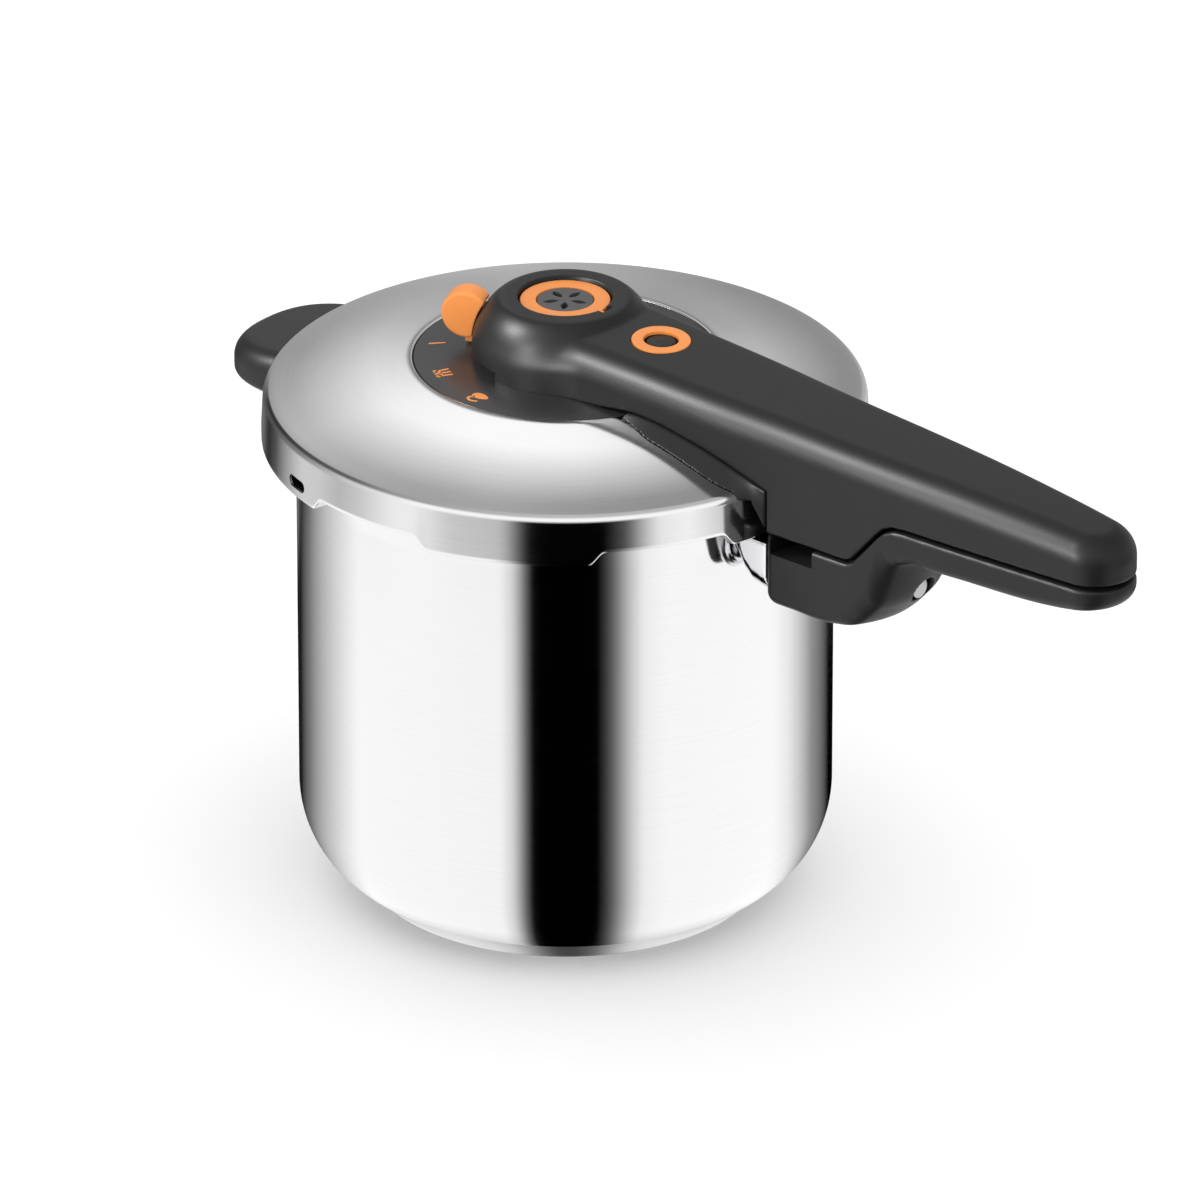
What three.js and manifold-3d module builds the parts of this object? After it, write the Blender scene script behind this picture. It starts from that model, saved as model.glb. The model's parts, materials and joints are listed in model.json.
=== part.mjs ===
// Stovetop pressure cooker with a six-lug bayonet lid and a long two-part handle.
// Millimetres, +Z up. The origin is the centre of the base, on the pot's axis, and +X runs along the handle.
import * as THREE from 'three';
import { mergeVertices } from 'three/addons/utils/BufferGeometryUtils.js';
import Module from 'manifold-3d';

const wasm = await Module();
wasm.setup();

const DEGREE = Math.PI / 180;
const GAP = 0.3; // left between pieces that touch
const ROUND = 48; // sides of a large round piece
const SMALL_ROUND = 16; // sides of a small round piece

// Pot
const POT_RADIUS = 111;
const POT_SHEET = 1.2;
const BOTTOM_ROUND = new THREE.Vector2(32, 38.5); // half-axes of the elliptical corner: across and up
const BASE_HEIGHT = 5.8;
const BASE_RADIUS = 84;
const BASE_EDGE = 1.4; // bevel round the underside
const BASE_SHEET = 0.8;
const RIM_Z = 207;
const FLANGE_LOW = 202;
const FLANGE_HIGH = 204;
const FLANGE_RADIUS = 115;
const RIM_BEAD = 0.6; // thickening of the pot's wall above the flange
const LUG_RADIUS = 121.5;
const LUG_COUNT = 6;
const LUG_SPAN = 25; // degrees

// Lid
const SKIRT_RADIUS = 125.2;
const LID_SHEET = 1.2;
const SKIRT_EDGE_Z = 204.8;
const LOBE_EDGE_Z = 199.4;
const LOBE_HALF_SPAN = 17; // degrees, to the middle of its stepped edge
const LOBE_STEP_SPAN = 3; // degrees that the stepped edge takes
const LIP_RADIUS = 115.5;
const LIP_THICKNESS = 1.5;
const FILLET_RADIUS = 4.4;
const FILLET_Z = 217.2;
const DOME_RADIUS = 215;
const DOME_EDGE_RADIUS = 63; // where the dome meets the plate's seat
const DOME_EDGE_SLOPE = 5.5; // degrees
const SEAT_RADIUS = 62.7;
const SEAT_Z = 233.9;
const PLATE_RADIUS = 62.4;
const PLATE_TOP = 235.4;
const WINDOW_ANGLE = -110.2; // degrees
const WINDOW_WIDTH = 13;
const WINDOW_HEIGHT = 5;
const WINDOW_Z = 205.7;

// Domed housing on the lid's centre
const HOUSING_FOOT = PLATE_TOP + GAP;
const HOUSING_TOP = 262.4;
const HOUSING_TOP_RADIUS = 26.6;
const HOUSING_CENTRE = new THREE.Vector2(20, 238);
const HOUSING_SEMI = new THREE.Vector2(18.2, 26.2);
const HOUSING_CAVITY_RADIUS = 34;
const HOUSING_CAVITY_TOP = 254.4;
const RECESS_RADIUS = 19.5;
const RECESS_FLOOR = 257.4;
const RECESS_BORE = 10.6;
const SLOT_START = -163; // degrees
const SLOT_END = -97;
const SLOT_TOP = 239.5;

// Handle: stations are [x, value] along its length
const WALL = 3;
const EDGE_ROUND = 11;
const TIP_CENTRE_X = 281;
const SHELL_ROOT_X = 12;
const SHELL_END_X = 130.2; // the shell's lower part starts here, outside the skirt
const HALF_WIDTH = [[0, 31], [60, 29], [97, 28], [130, 26], [180, 24], [244, 20], [281, 17]];
const SHELL_TOP = [[0, 260], [52, 258.4], [150, 254.2], [237, 250.2], [281, 246.8], [298, 244.8]];
const SEAM = [[-60, HOUSING_FOOT], [42, HOUSING_FOOT], [60, 238], [97, 233.5], [SHELL_END_X, 223.5]];
const OUTLINE_X = [45, 60, 80, 97, 115, 130, 150, 172, 190, 215, 244, 264];
// The two handles meet on a surface of revolution about the pot's axis, so the lid can turn: [radius, z]
const MEETING = [[100, 205], [172.5, 205], [175.5, 206.4], [187.5, 220.6], [191, 224.2], [195.5, 226.3],
  [201, 226.8], [315, 226.8]];
const MEETING_GAP = 1.6;
const COVER_THICKNESS = 2.7;
const COVER_SCREW_X = [160, 214, 273];

// Pot handle
const POT_HANDLE_X = 128;
const POT_HALF_WIDTH = [[0, 25], [150, 25], [180, 24], [244, 20], [281, 17]];
const POT_EDGE_ROUND = 6;
const POT_HANDLE_BOTTOM = [[100, 175], [128, 175], [150, 173.5], [167, 174.5], [175, 177.5], [191, 187.5],
  [203, 197.5], [209, 205], [213, 209.6], [222, 210.6], [281, 213], [298, 216]];
const POT_OUTLINE_X = [140, 155, 167, 175, 183, 191, 197, 203, 209, 213, 222, 244, 264];
const NOTCH = { x0: 132, x1: 154, y0: -40, y1: 4, z: 196 };
const BOLT_Z = 190;
const BOLT_HEAD_X = 187;
const BOLT_RADIUS = 2.4;
const BOLT_HEAD_RADIUS = 4.4;
// Sleeve between the pot and its handle: [x, z] of its outer and inner outlines, from the underside round
const FERRULE_OUTER = [[106, 192], [114.6, 186], [120, 179], [127.7, 175.4], [127.7, 198.2], [112.6, 197.6],
  [106, 197.6]];
const FERRULE_INNER = [[116.4, 187], [121, 181.3], [132, 178], [132, 196], [114.6, 196]];
const FERRULE_HALF_WIDTH = 23;
const FERRULE_SHEET = 1.6;

// Lock: the selector's cam drives a slider, whose wedge drives a pin
const SELECTOR_TRAVEL = 57; // degrees
const LOCK_TRAVEL = 8;
const CAM_START_RADIUS = 16;
const SLIDER_LOW = 243;
const SLIDER_HIGH = 246;
const PIN_X = 143;
const PIN_TIP_Z = 205.7;
const LOCK_PIN_RADIUS = 3;

// Valves
const VALVE_STEM_RADIUS = 8;
const VALVE_BODY_RADIUS = 10.2;
const VALVE_FOOT = 222;
const VALVE_HEAD = 255.5;
const CAP_LOW = 257.8;
const CAP_TOP = 261;
const CAP_RADIUS = 18.6;
const VENT_RADIUS = 11.7;
const VENT_TOP = 260.6;
const INDICATOR_X = 52;
const INDICATOR_FOOT = 225.6;
const INDICATOR_TOP = 258;
const INDICATOR_STEM_RADIUS = 2.5;
const SAFETY_X = 84;
const SAFETY_FOOT = 220.5;
const SAFETY_FLANGE = 234.7;
const SAFETY_HEAD = 241;
const HANDLE_BOLT_X = 98;
const HANDLE_BOLT_Y = 12;

// Selector lever
const LEVER_ANGLE = -154; // degrees
const LEVER_RADIUS = 10;
const LEVER_THICKNESS = 10;
const LEVER_CENTRE_R = 41.5;
const LEVER_CENTRE_Z = 251;

// Helper handle: a slab whose outer end is a superellipse in plan, with a top that slopes down outwards
const HELPER_CENTRE_X = -133;
const HELPER_SEMI = new THREE.Vector2(36.8, 34.9);
const HELPER_POWER = 2.4;
const HELPER_BOTTOM = 187.7;
const HELPER_TOP = 207.2; // above HELPER_CENTRE_X
const HELPER_SLOPE = 0.12;
const HELPER_TOP_ROUND = 8;
const HELPER_BOTTOM_ROUND = 3.2;
const HELPER_SHELF = 198; // the handle fills the space under the skirt up to here
const HELPER_CLEARANCE = 1.4; // between handle and skirt
const HELPER_SCREW_X = -132;
const HELPER_SCREW_Y = 7;
const STRAP_LOW = 184;
const STRAP_THICKNESS = 1.6;
const TONGUE_END_X = -140;
const TONGUE_HALF_WIDTH = 13;
const TONGUE_Z = 194; // its middle

const steel = new THREE.MeshStandardMaterial({ color: 0xd8d8d8, roughness: 0.08, metalness: 1 });
const satinSteel = new THREE.MeshStandardMaterial({ color: 0xb4b4b4, roughness: 0.35, metalness: 1 });
const aluminium = new THREE.MeshStandardMaterial({ color: 0xc4c6c8, roughness: 0.4, metalness: 1 });
const brass = new THREE.MeshStandardMaterial({ color: 0xb59a5a, roughness: 0.35, metalness: 1 });
const charcoal = new THREE.MeshStandardMaterial({ color: 0x343435, roughness: 0.45, metalness: 0 });
const black = new THREE.MeshStandardMaterial({ color: 0x1c1c1d, roughness: 0.3, metalness: 0 });
const grey = new THREE.MeshStandardMaterial({ color: 0x555557, roughness: 0.5, metalness: 0 });
const orange = new THREE.MeshStandardMaterial({ color: 0xf08a35, roughness: 0.4, metalness: 0 });
const silicone = new THREE.MeshStandardMaterial({ color: 0xb9bcc0, roughness: 0.7, metalness: 0 });

// Turns a closed geometry into a solid that can be cut and joined.
function solidOf(geometry) {
  const bare = geometry.clone();
  bare.deleteAttribute('normal');
  bare.deleteAttribute('uv');
  const merged = mergeVertices(bare, 1e-4);
  const index = merged.index.array;
  const kept = [];
  for (let i = 0; i < index.length; i += 3) {
    const [a, b, c] = [index[i], index[i + 1], index[i + 2]];
    if (a !== b && b !== c && c !== a) kept.push(a, b, c);
  }
  const vertProperties = new Float32Array(merged.attributes.position.array);
  return new wasm.Manifold(new wasm.Mesh({ numProp: 3, vertProperties, triVerts: new Uint32Array(kept) }));
}

function geometryOf(solid) {
  const mesh = solid.getMesh();
  const geometry = new THREE.BufferGeometry();
  geometry.setAttribute('position', new THREE.BufferAttribute(mesh.vertProperties, 3));
  geometry.setIndex(new THREE.BufferAttribute(mesh.triVerts, 1));
  geometry.computeVertexNormals();
  return geometry;
}

function addPart(group, name, solid, material) {
  const mesh = new THREE.Mesh(geometryOf(solid), material);
  mesh.name = name;
  group.add(mesh);
}

// Value at x of a list of [x, value] stations.
function along(stations, x) {
  if (x <= stations[0][0]) return stations[0][1];
  for (let i = 1; i < stations.length; i += 1) {
    const [x0, v0] = stations[i - 1];
    const [x1, v1] = stations[i];
    if (x <= x1) return v0 + (v1 - v0) * (x - x0) / (x1 - x0);
  }
  return stations[stations.length - 1][1];
}

function vectors(pairs) {
  return pairs.map(([a, b]) => new THREE.Vector2(a, b));
}

// Points of an arc, in degrees, both ends included.
function arc(cx, cy, radiusX, radiusY, start, end, steps) {
  const points = [];
  for (let i = 0; i <= steps; i += 1) {
    const angle = (start + (end - start) * i / steps) * DEGREE;
    points.push([cx + radiusX * Math.cos(angle), cy + radiusY * Math.sin(angle)]);
  }
  return points;
}

// Solid of revolution about Z of an anticlockwise [radius, z] outline.
function revolve(outline, sides = ROUND) {
  const points = vectors([...outline, outline[0]]);
  const geometry = new THREE.LatheGeometry(points, sides);
  geometry.rotateX(Math.PI / 2);
  return solidOf(geometry);
}

function revolveAt(outline, x, y, sides = SMALL_ROUND) {
  return revolve(outline, sides).translate([x, y, 0]);
}

function rod(radius, z0, z1, x = 0, y = 0, sides = SMALL_ROUND) {
  return revolveAt([[0, z0], [radius, z0], [radius, z1], [0, z1]], x, y, sides);
}

function ring(inner, outer, z0, z1, x = 0, y = 0, sides = SMALL_ROUND) {
  return revolveAt([[inner, z0], [outer, z0], [outer, z1], [inner, z1]], x, y, sides);
}

function box(x0, x1, y0, y1, z0, z1) {
  const geometry = new THREE.BoxGeometry(x1 - x0, y1 - y0, z1 - z0);
  geometry.translate((x0 + x1) / 2, (y0 + y1) / 2, (z0 + z1) / 2);
  return solidOf(geometry);
}

// Upright prism over an [x, y] outline.
function prism(outline, z0, z1) {
  const geometry = new THREE.ExtrudeGeometry(new THREE.Shape(vectors(outline)), {
    depth: z1 - z0, bevelEnabled: false,
  });
  geometry.translate(0, 0, z0);
  return solidOf(geometry);
}

// Prism across the handle, from y0 to y1, over an [x, z] outline.
function crossPrism(outline, y0, y1) {
  const geometry = new THREE.ExtrudeGeometry(new THREE.Shape(vectors(outline)), {
    depth: y1 - y0, bevelEnabled: false,
  });
  geometry.rotateX(Math.PI / 2);
  geometry.translate(0, y1, 0);
  return solidOf(geometry);
}

// Part of a flat ring, between two angles in degrees.
function sector(inner, outer, start, end, z0, z1) {
  const steps = Math.max(2, Math.ceil((end - start) / 4));
  const outside = arc(0, 0, outer, outer, start, end, steps);
  const inside = arc(0, 0, inner, inner, end, start, steps);
  return prism([...outside, ...inside], z0, z1);
}

// Bar along X with a round section.
function crossRod(radius, x0, x1, y, z) {
  const geometry = new THREE.CylinderGeometry(radius, radius, x1 - x0, SMALL_ROUND);
  geometry.rotateZ(Math.PI / 2);
  geometry.translate((x0 + x1) / 2, y, z);
  return solidOf(geometry);
}

function hexagon(radius, z0, z1, bore, x = 0, y = 0) {
  const outline = arc(x, y, radius, radius, 0, 300, 5);
  return prism(outline, z0, z1).subtract(rod(bore, z0 - 1, z1 + 1, x, y));
}

class Helix extends THREE.Curve {
  constructor(radius, z0, z1, turns) {
    super();
    Object.assign(this, { radius, z0, z1, turns });
  }

  getPoint(t, target = new THREE.Vector3()) {
    const angle = t * this.turns * 2 * Math.PI;
    return target.set(
      this.radius * Math.cos(angle), this.radius * Math.sin(angle), this.z0 + (this.z1 - this.z0) * t,
    );
  }
}

// Coil spring whose ends reach z0 and z1.
function spring(radius, wire, z0, z1, turns, x = 0) {
  const half = wire / 2;
  const path = new Helix(radius, z0 + half, z1 - half, turns);
  const section = new THREE.Shape(vectors(arc(0, 0, half, half, 0, 288, 4)));
  const geometry = new THREE.ExtrudeGeometry(section, {
    steps: turns * 8, extrudePath: path, bevelEnabled: false,
  });
  geometry.translate(x, 0, 0);
  return solidOf(geometry);
}

// Closed body from rings of points that match one to one. The first and last rings are capped across,
// from each point to its mirror image in the XZ plane.
function skin(rings) {
  const count = rings[0].length;
  const positions = rings.flat().flatMap((p) => [p.x, p.y, p.z]);
  const index = [];
  for (let k = 0; k + 1 < rings.length; k += 1) {
    for (let i = 0; i < count; i += 1) {
      const j = (i + 1) % count;
      const [a, b] = [k * count + i, k * count + j];
      index.push(a, b, b + count, a, b + count, a + count);
    }
  }
  for (const [start, flip] of [[0, true], [(rings.length - 1) * count, false]]) {
    for (let i = 0; i < count / 2 - 1; i += 1) {
      const quad = [i, i + 1, count - 2 - i, count - 1 - i].map((n) => start + n);
      const [a, b, c, d] = flip ? quad.reverse() : quad;
      index.push(a, b, c, a, c, d);
    }
  }
  const geometry = new THREE.BufferGeometry();
  geometry.setAttribute('position', new THREE.Float32BufferAttribute(positions, 3));
  geometry.setIndex(index);
  return solidOf(geometry);
}

// Plan outline of a handle: along -Y to the round tip, and back along +Y. inset moves it inwards.
function handleOutline(rootX, stationX, widths, inset) {
  const side = [rootX, ...stationX].map((x) => [x, along(widths, x) - inset]);
  const tipRadius = along(widths, TIP_CENTRE_X) - inset;
  const tip = arc(TIP_CENTRE_X, 0, tipRadius, tipRadius, -90, 90, 9);
  return [...side.map(([x, y]) => [x, -y]), ...tip, ...side.reverse()];
}

// Upright body over a handle's outline, from zFlat to a sloping face whose edge is rounded.
// side is +1 where the face is the top, and -1 where it is the bottom.
function roundedHandle(rootX, stationX, widths, face, zFlat, edge, inset, side) {
  const steps = 4;
  const ringAt = (extra, zOf) => handleOutline(rootX, stationX, widths, inset + extra)
    .map(([x, y]) => new THREE.Vector3(x, y, zOf(x)));
  const rings = [ringAt(0, () => zFlat)];
  for (let i = 0; i <= steps; i += 1) {
    const angle = i / steps * Math.PI / 2;
    const extra = edge * (1 - Math.cos(angle));
    const drop = edge * (1 - Math.sin(angle));
    rings.push(ringAt(extra, (x) => along(face, x) - side * (drop + inset)));
  }
  if (side < 0) rings.reverse();
  return skin(rings);
}

// Centres of the dome's arc and of the fillet, which touches both the dome and the skirt
const domeCentre = new THREE.Vector2();
domeCentre.x = DOME_EDGE_RADIUS - DOME_RADIUS * Math.sin(DOME_EDGE_SLOPE * DEGREE);
const filletCentre = new THREE.Vector2(SKIRT_RADIUS - FILLET_RADIUS, FILLET_Z);
const centresApart = DOME_RADIUS - FILLET_RADIUS;
domeCentre.y = FILLET_Z - Math.sqrt(centresApart ** 2 - (filletCentre.x - domeCentre.x) ** 2);

// Dome, fillet and top of the skirt as [radius, z], from the plate's seat outwards, moved out by offset.
function lidCurve(offset) {
  const domeStart = 90 - DOME_EDGE_SLOPE;
  const join = Math.atan2(filletCentre.y - domeCentre.y, filletCentre.x - domeCentre.x) / DEGREE;
  const [domeRadius, filletRadius] = [DOME_RADIUS + offset, FILLET_RADIUS + offset];
  const dome = arc(domeCentre.x, domeCentre.y, domeRadius, domeRadius, domeStart, join, 5);
  const fillet = arc(filletCentre.x, filletCentre.y, filletRadius, filletRadius, join, 0, 4);
  return [...dome, ...fillet.slice(1)];
}

function potShell() {
  const innerRadius = POT_RADIUS - POT_SHEET;
  const corner = new THREE.Vector2(POT_RADIUS - BOTTOM_ROUND.x, BASE_HEIGHT + BOTTOM_ROUND.y);
  const outer = arc(corner.x, corner.y, BOTTOM_ROUND.x, BOTTOM_ROUND.y, -90, 0, 6);
  const inner = arc(corner.x, corner.y, BOTTOM_ROUND.x - POT_SHEET, BOTTOM_ROUND.y - POT_SHEET, 0, -90, 6);
  const bead = POT_RADIUS + RIM_BEAD;
  const shell = revolve([
    [0, BASE_HEIGHT], ...outer,
    [POT_RADIUS, FLANGE_LOW], [FLANGE_RADIUS, FLANGE_LOW], [FLANGE_RADIUS, FLANGE_HIGH],
    [bead, FLANGE_HIGH], [bead, RIM_Z - RIM_BEAD], [POT_RADIUS, RIM_Z],
    [innerRadius, RIM_Z], ...inner, [0, BASE_HEIGHT + POT_SHEET],
  ]);
  const lugs = [];
  for (let i = 0; i < LUG_COUNT; i += 1) {
    const middle = i * 360 / LUG_COUNT;
    lugs.push(sector(
      POT_RADIUS + 0.3, LUG_RADIUS, middle - LUG_SPAN / 2, middle + LUG_SPAN / 2, FLANGE_LOW, FLANGE_HIGH,
    ));
  }
  return lugs.reduce((body, lug) => body.add(lug), shell);
}

// Steel pan under the pot that encloses the heat-spreading core.
function baseCap() {
  const inner = BASE_RADIUS - BASE_SHEET;
  return revolve([
    [0, 0], [BASE_RADIUS - BASE_EDGE, 0], [BASE_RADIUS, BASE_EDGE], [BASE_RADIUS, BASE_HEIGHT - GAP],
    [inner, BASE_HEIGHT - GAP], [inner, BASE_SHEET + 1], [inner - 1, BASE_SHEET], [0, BASE_SHEET],
  ]);
}

function baseCore() {
  const radius = BASE_RADIUS - BASE_SHEET - GAP;
  const low = BASE_SHEET + GAP;
  const high = BASE_HEIGHT - GAP;
  return revolve([[0, low], [radius - BASE_EDGE, low], [radius, low + BASE_EDGE], [radius, high], [0, high]]);
}

// Lower edge of the skirt at an angle: deep at each lobe, shallow between, with an S-shaped step.
function skirtEdge(angle) {
  const pitch = 360 / LUG_COUNT;
  const away = Math.abs(((angle + pitch / 2) % pitch + pitch) % pitch - pitch / 2);
  const t = THREE.MathUtils.clamp((away - LOBE_HALF_SPAN) / LOBE_STEP_SPAN + 0.5, 0, 1);
  const low = LOBE_EDGE_Z - GAP;
  return low + (SKIRT_EDGE_Z - low) * t * t * (3 - 2 * t);
}

// Everything under the skirt's lower edge, as a ring.
function underSkirt() {
  const pitch = 360 / LUG_COUNT;
  const stepAngles = [0, 0.25, 0.5, 0.75, 1].map((t) => LOBE_HALF_SPAN + (t - 0.5) * LOBE_STEP_SPAN);
  const local = [0, 6, 12, ...stepAngles, 24, 30, 36, ...stepAngles.map((a) => pitch - a).reverse(), 48, 54];
  const rings = [];
  for (let i = 0; i < LUG_COUNT; i += 1) {
    for (const a of local) {
      const angle = i * pitch + a;
      const top = skirtEdge(angle);
      rings.push([[114, 190], [127, 190], [127, top], [114, top]].map(([r, z]) => new THREE.Vector3(
        r * Math.cos(angle * DEGREE), r * Math.sin(angle * DEGREE), z,
      )));
    }
  }
  const positions = rings.flat().flatMap((p) => [p.x, p.y, p.z]);
  const index = [];
  for (let k = 0; k < rings.length; k += 1) {
    const next = (k + 1) % rings.length;
    for (let i = 0; i < 4; i += 1) {
      const j = (i + 1) % 4;
      const [a, b, c, d] = [k * 4 + i, k * 4 + j, next * 4 + j, next * 4 + i];
      index.push(a, c, b, a, d, c);
    }
  }
  const geometry = new THREE.BufferGeometry();
  geometry.setAttribute('position', new THREE.Float32BufferAttribute(positions, 3));
  geometry.setIndex(index);
  return solidOf(geometry);
}

// Slot with round ends through the skirt, where the gasket can bulge out if everything else fails.
function gasketWindow() {
  const end = WINDOW_HEIGHT / 2;
  const reach = WINDOW_WIDTH / 2 - end;
  const outline = [
    ...arc(reach, WINDOW_Z, end, end, -90, 90, 6), ...arc(-reach, WINDOW_Z, end, end, 90, 270, 6),
  ];
  return crossPrism(outline, -SKIRT_RADIUS - 5, -SKIRT_RADIUS + 5).rotate([0, 0, WINDOW_ANGLE + 90]);
}

function lidShell() {
  const outer = lidCurve(0);
  const inner = lidCurve(-LID_SHEET);
  const innerSkirt = SKIRT_RADIUS - LID_SHEET;
  const stemHole = VALVE_STEM_RADIUS + GAP;
  const shell = revolve([
    [stemHole, SEAT_Z - LID_SHEET], [SEAT_RADIUS - 2, SEAT_Z - LID_SHEET], ...inner,
    [innerSkirt, LOBE_EDGE_Z + LIP_THICKNESS], [LIP_RADIUS, LOBE_EDGE_Z + LIP_THICKNESS],
    [LIP_RADIUS, LOBE_EDGE_Z], [SKIRT_RADIUS, LOBE_EDGE_Z], ...outer.reverse(),
    [SEAT_RADIUS, outer[outer.length - 1][1] - 0.5], [SEAT_RADIUS, SEAT_Z], [stemHole, SEAT_Z],
  ]);
  return shell
    .subtract(underSkirt())
    .subtract(gasketWindow())
    .subtract(rod(4.2, 220, 240, INDICATOR_X))
    .subtract(rod(5.5, 220, 240, SAFETY_X))
    .subtract(rod(2.8, 220, 240, HANDLE_BOLT_X, HANDLE_BOLT_Y))
    .subtract(rod(2.8, 220, 240, HANDLE_BOLT_X, -HANDLE_BOLT_Y));
}

// Silicone ring with a lip that seals on the pot's rim.
function gasket() {
  const low = RIM_Z + GAP;
  return revolve([
    [107, low], [122.8, low], [122.8, low + 5.4], [120.2, 217.4], [117.6, 217.4], [119.4, 213],
    [118.6, 210.4], [107, low + 1.9],
  ]);
}

function positionPlate() {
  return ring(VALVE_STEM_RADIUS + 0.6, PLATE_RADIUS, SEAT_Z + GAP, PLATE_TOP, 0, 0, ROUND)
    .subtract(rod(4.6, 230, 240, INDICATOR_X));
}

// Everything between the meeting surface, raised by lift, and a level far above or below it.
function besideMeeting(lift, farZ) {
  const curve = MEETING.map(([r, z]) => [r, z + lift]);
  const [first, last] = [curve[0][0], curve[curve.length - 1][0]];
  const outline = farZ < curve[0][1]
    ? [[first, farZ], [last, farZ], ...curve.reverse()]
    : [...curve, [last, farZ], [first, farZ]];
  return revolve(outline);
}

// Housing over the valve, with a convex flank.
function housingBody(grow) {
  const topAngle = Math.asin((HOUSING_TOP - HOUSING_CENTRE.y) / HOUSING_SEMI.y) / DEGREE;
  const flank = arc(
    HOUSING_CENTRE.x, HOUSING_CENTRE.y, HOUSING_SEMI.x + grow, HOUSING_SEMI.y + grow, 0, topAngle, 7,
  );
  const top = HOUSING_TOP + grow;
  return revolve([
    [0, HOUSING_FOOT - grow], [HOUSING_CENTRE.x + HOUSING_SEMI.x + grow - 0.4, HOUSING_FOOT - grow],
    ...flank.slice(0, -1), [HOUSING_TOP_RADIUS + grow, top], [0, top],
  ]);
}

// Space inside the handle shell for the lock, the safety valve and the indicator.
function shellCavity() {
  const innerRound = EDGE_ROUND - WALL;
  const inner = roundedHandle(SHELL_ROOT_X, OUTLINE_X, HALF_WIDTH, SHELL_TOP, 195, innerRound, WALL, 1);
  const endWall = box(SHELL_END_X - 4, SHELL_END_X + WALL, -40, 40, 190, 221);
  const dome = rod(HOUSING_CAVITY_RADIUS, HOUSING_FOOT - 2, HOUSING_CAVITY_TOP, 0, 0, ROUND);
  const post = rod(RECESS_BORE + 0.4, HOUSING_CAVITY_TOP - 1, HOUSING_TOP, 0, 0, SMALL_ROUND);
  const underHousing = rod(HOUSING_CAVITY_RADIUS, HOUSING_CAVITY_TOP, HOUSING_TOP + 1, 0, 0, ROUND);
  return inner.subtract(endWall).subtract(underHousing).add(dome).subtract(post);
}

// Indicator ring's place: a shallow round pocket that follows the slope of the handle's top.
const [slopeStart, slopeEnd] = SHELL_TOP.slice(1, 3);
const indicatorSlope = Math.atan2(slopeStart[1] - slopeEnd[1], slopeEnd[0] - slopeStart[0]) / DEGREE;

function onHandleTop(solid) {
  return solid.rotate([0, indicatorSlope, 0]).translate([INDICATOR_X, 0, slopeStart[1]]);
}

function lidHandleShell() {
  const underSeam = [[-80, 180], [SHELL_END_X, 180], ...SEAM.slice().reverse(), [-80, HOUSING_FOOT]];
  const seamCutter = crossPrism(underSeam, -60, 60);
  const outer = roundedHandle(SHELL_ROOT_X, OUTLINE_X, HALF_WIDTH, SHELL_TOP, 196, EDGE_ROUND, 0, 1)
    .add(housingBody(0));
  let shell = outer.subtract(shellCavity());
  for (const x of COVER_SCREW_X) {
    const postTop = along(SHELL_TOP, x) - 1;
    shell = shell.add(rod(4, 196, postTop, x, 0, 16)).subtract(rod(1.9, 190, postTop - 4, x, 0, 12));
  }
  return shell
    .add(onHandleTop(rod(9.6, -7, -2)))
    .subtract(seamCutter)
    .subtract(besideMeeting(0, 150))
    .subtract(coverBand(GAP))
    .subtract(rod(RECESS_RADIUS, RECESS_FLOOR, HOUSING_TOP + 1, 0, 0, ROUND))
    .subtract(rod(RECESS_BORE, HOUSING_CAVITY_TOP - 1, RECESS_FLOOR + 1))
    .subtract(sector(RECESS_RADIUS - 1, 22.6, -6, 12, RECESS_FLOOR, HOUSING_TOP + 1))
    .subtract(sector(HOUSING_CAVITY_RADIUS - 1, 41, SLOT_START, SLOT_END, HOUSING_FOOT - 1, SLOT_TOP))
    .subtract(onHandleTop(rod(12.5, -1.6, 4, 0, 0, 32)))
    .subtract(rod(6.8, 240, 262, INDICATOR_X, 0, 24));
}

// Layer above the meeting surface, inside the shell's walls, grown by clearance.
function coverBand(clearance) {
  const inset = WALL + GAP - clearance;
  const rootX = SHELL_END_X + inset;
  const plan = handleOutline(rootX, OUTLINE_X.filter((x) => x > rootX), HALF_WIDTH, inset);
  const top = besideMeeting(COVER_THICKNESS + clearance, 150);
  return prism(plan, 200, 240).intersect(top).subtract(besideMeeting(0, 150));
}

// Cover that closes the shell from below.
function lidHandleCover() {
  let cover = coverBand(0).subtract(rod(LOCK_PIN_RADIUS + 0.5, 200, 212, PIN_X));
  for (const x of COVER_SCREW_X) {
    const face = along(MEETING, x);
    cover = cover.subtract(rod(2.2, face - 5, face + 8, x)).subtract(rod(3.6, face - 5, face + 1.7, x));
  }
  return cover;
}

function coverScrew(x) {
  const face = along(MEETING, x);
  const headTop = face + 1.4;
  return revolveAt([
    [0, face + 0.2], [3.2, face + 0.2], [3.2, headTop], [1.5, headTop], [1.5, face + 12], [0, face + 12],
  ], x, 0, 12);
}

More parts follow.
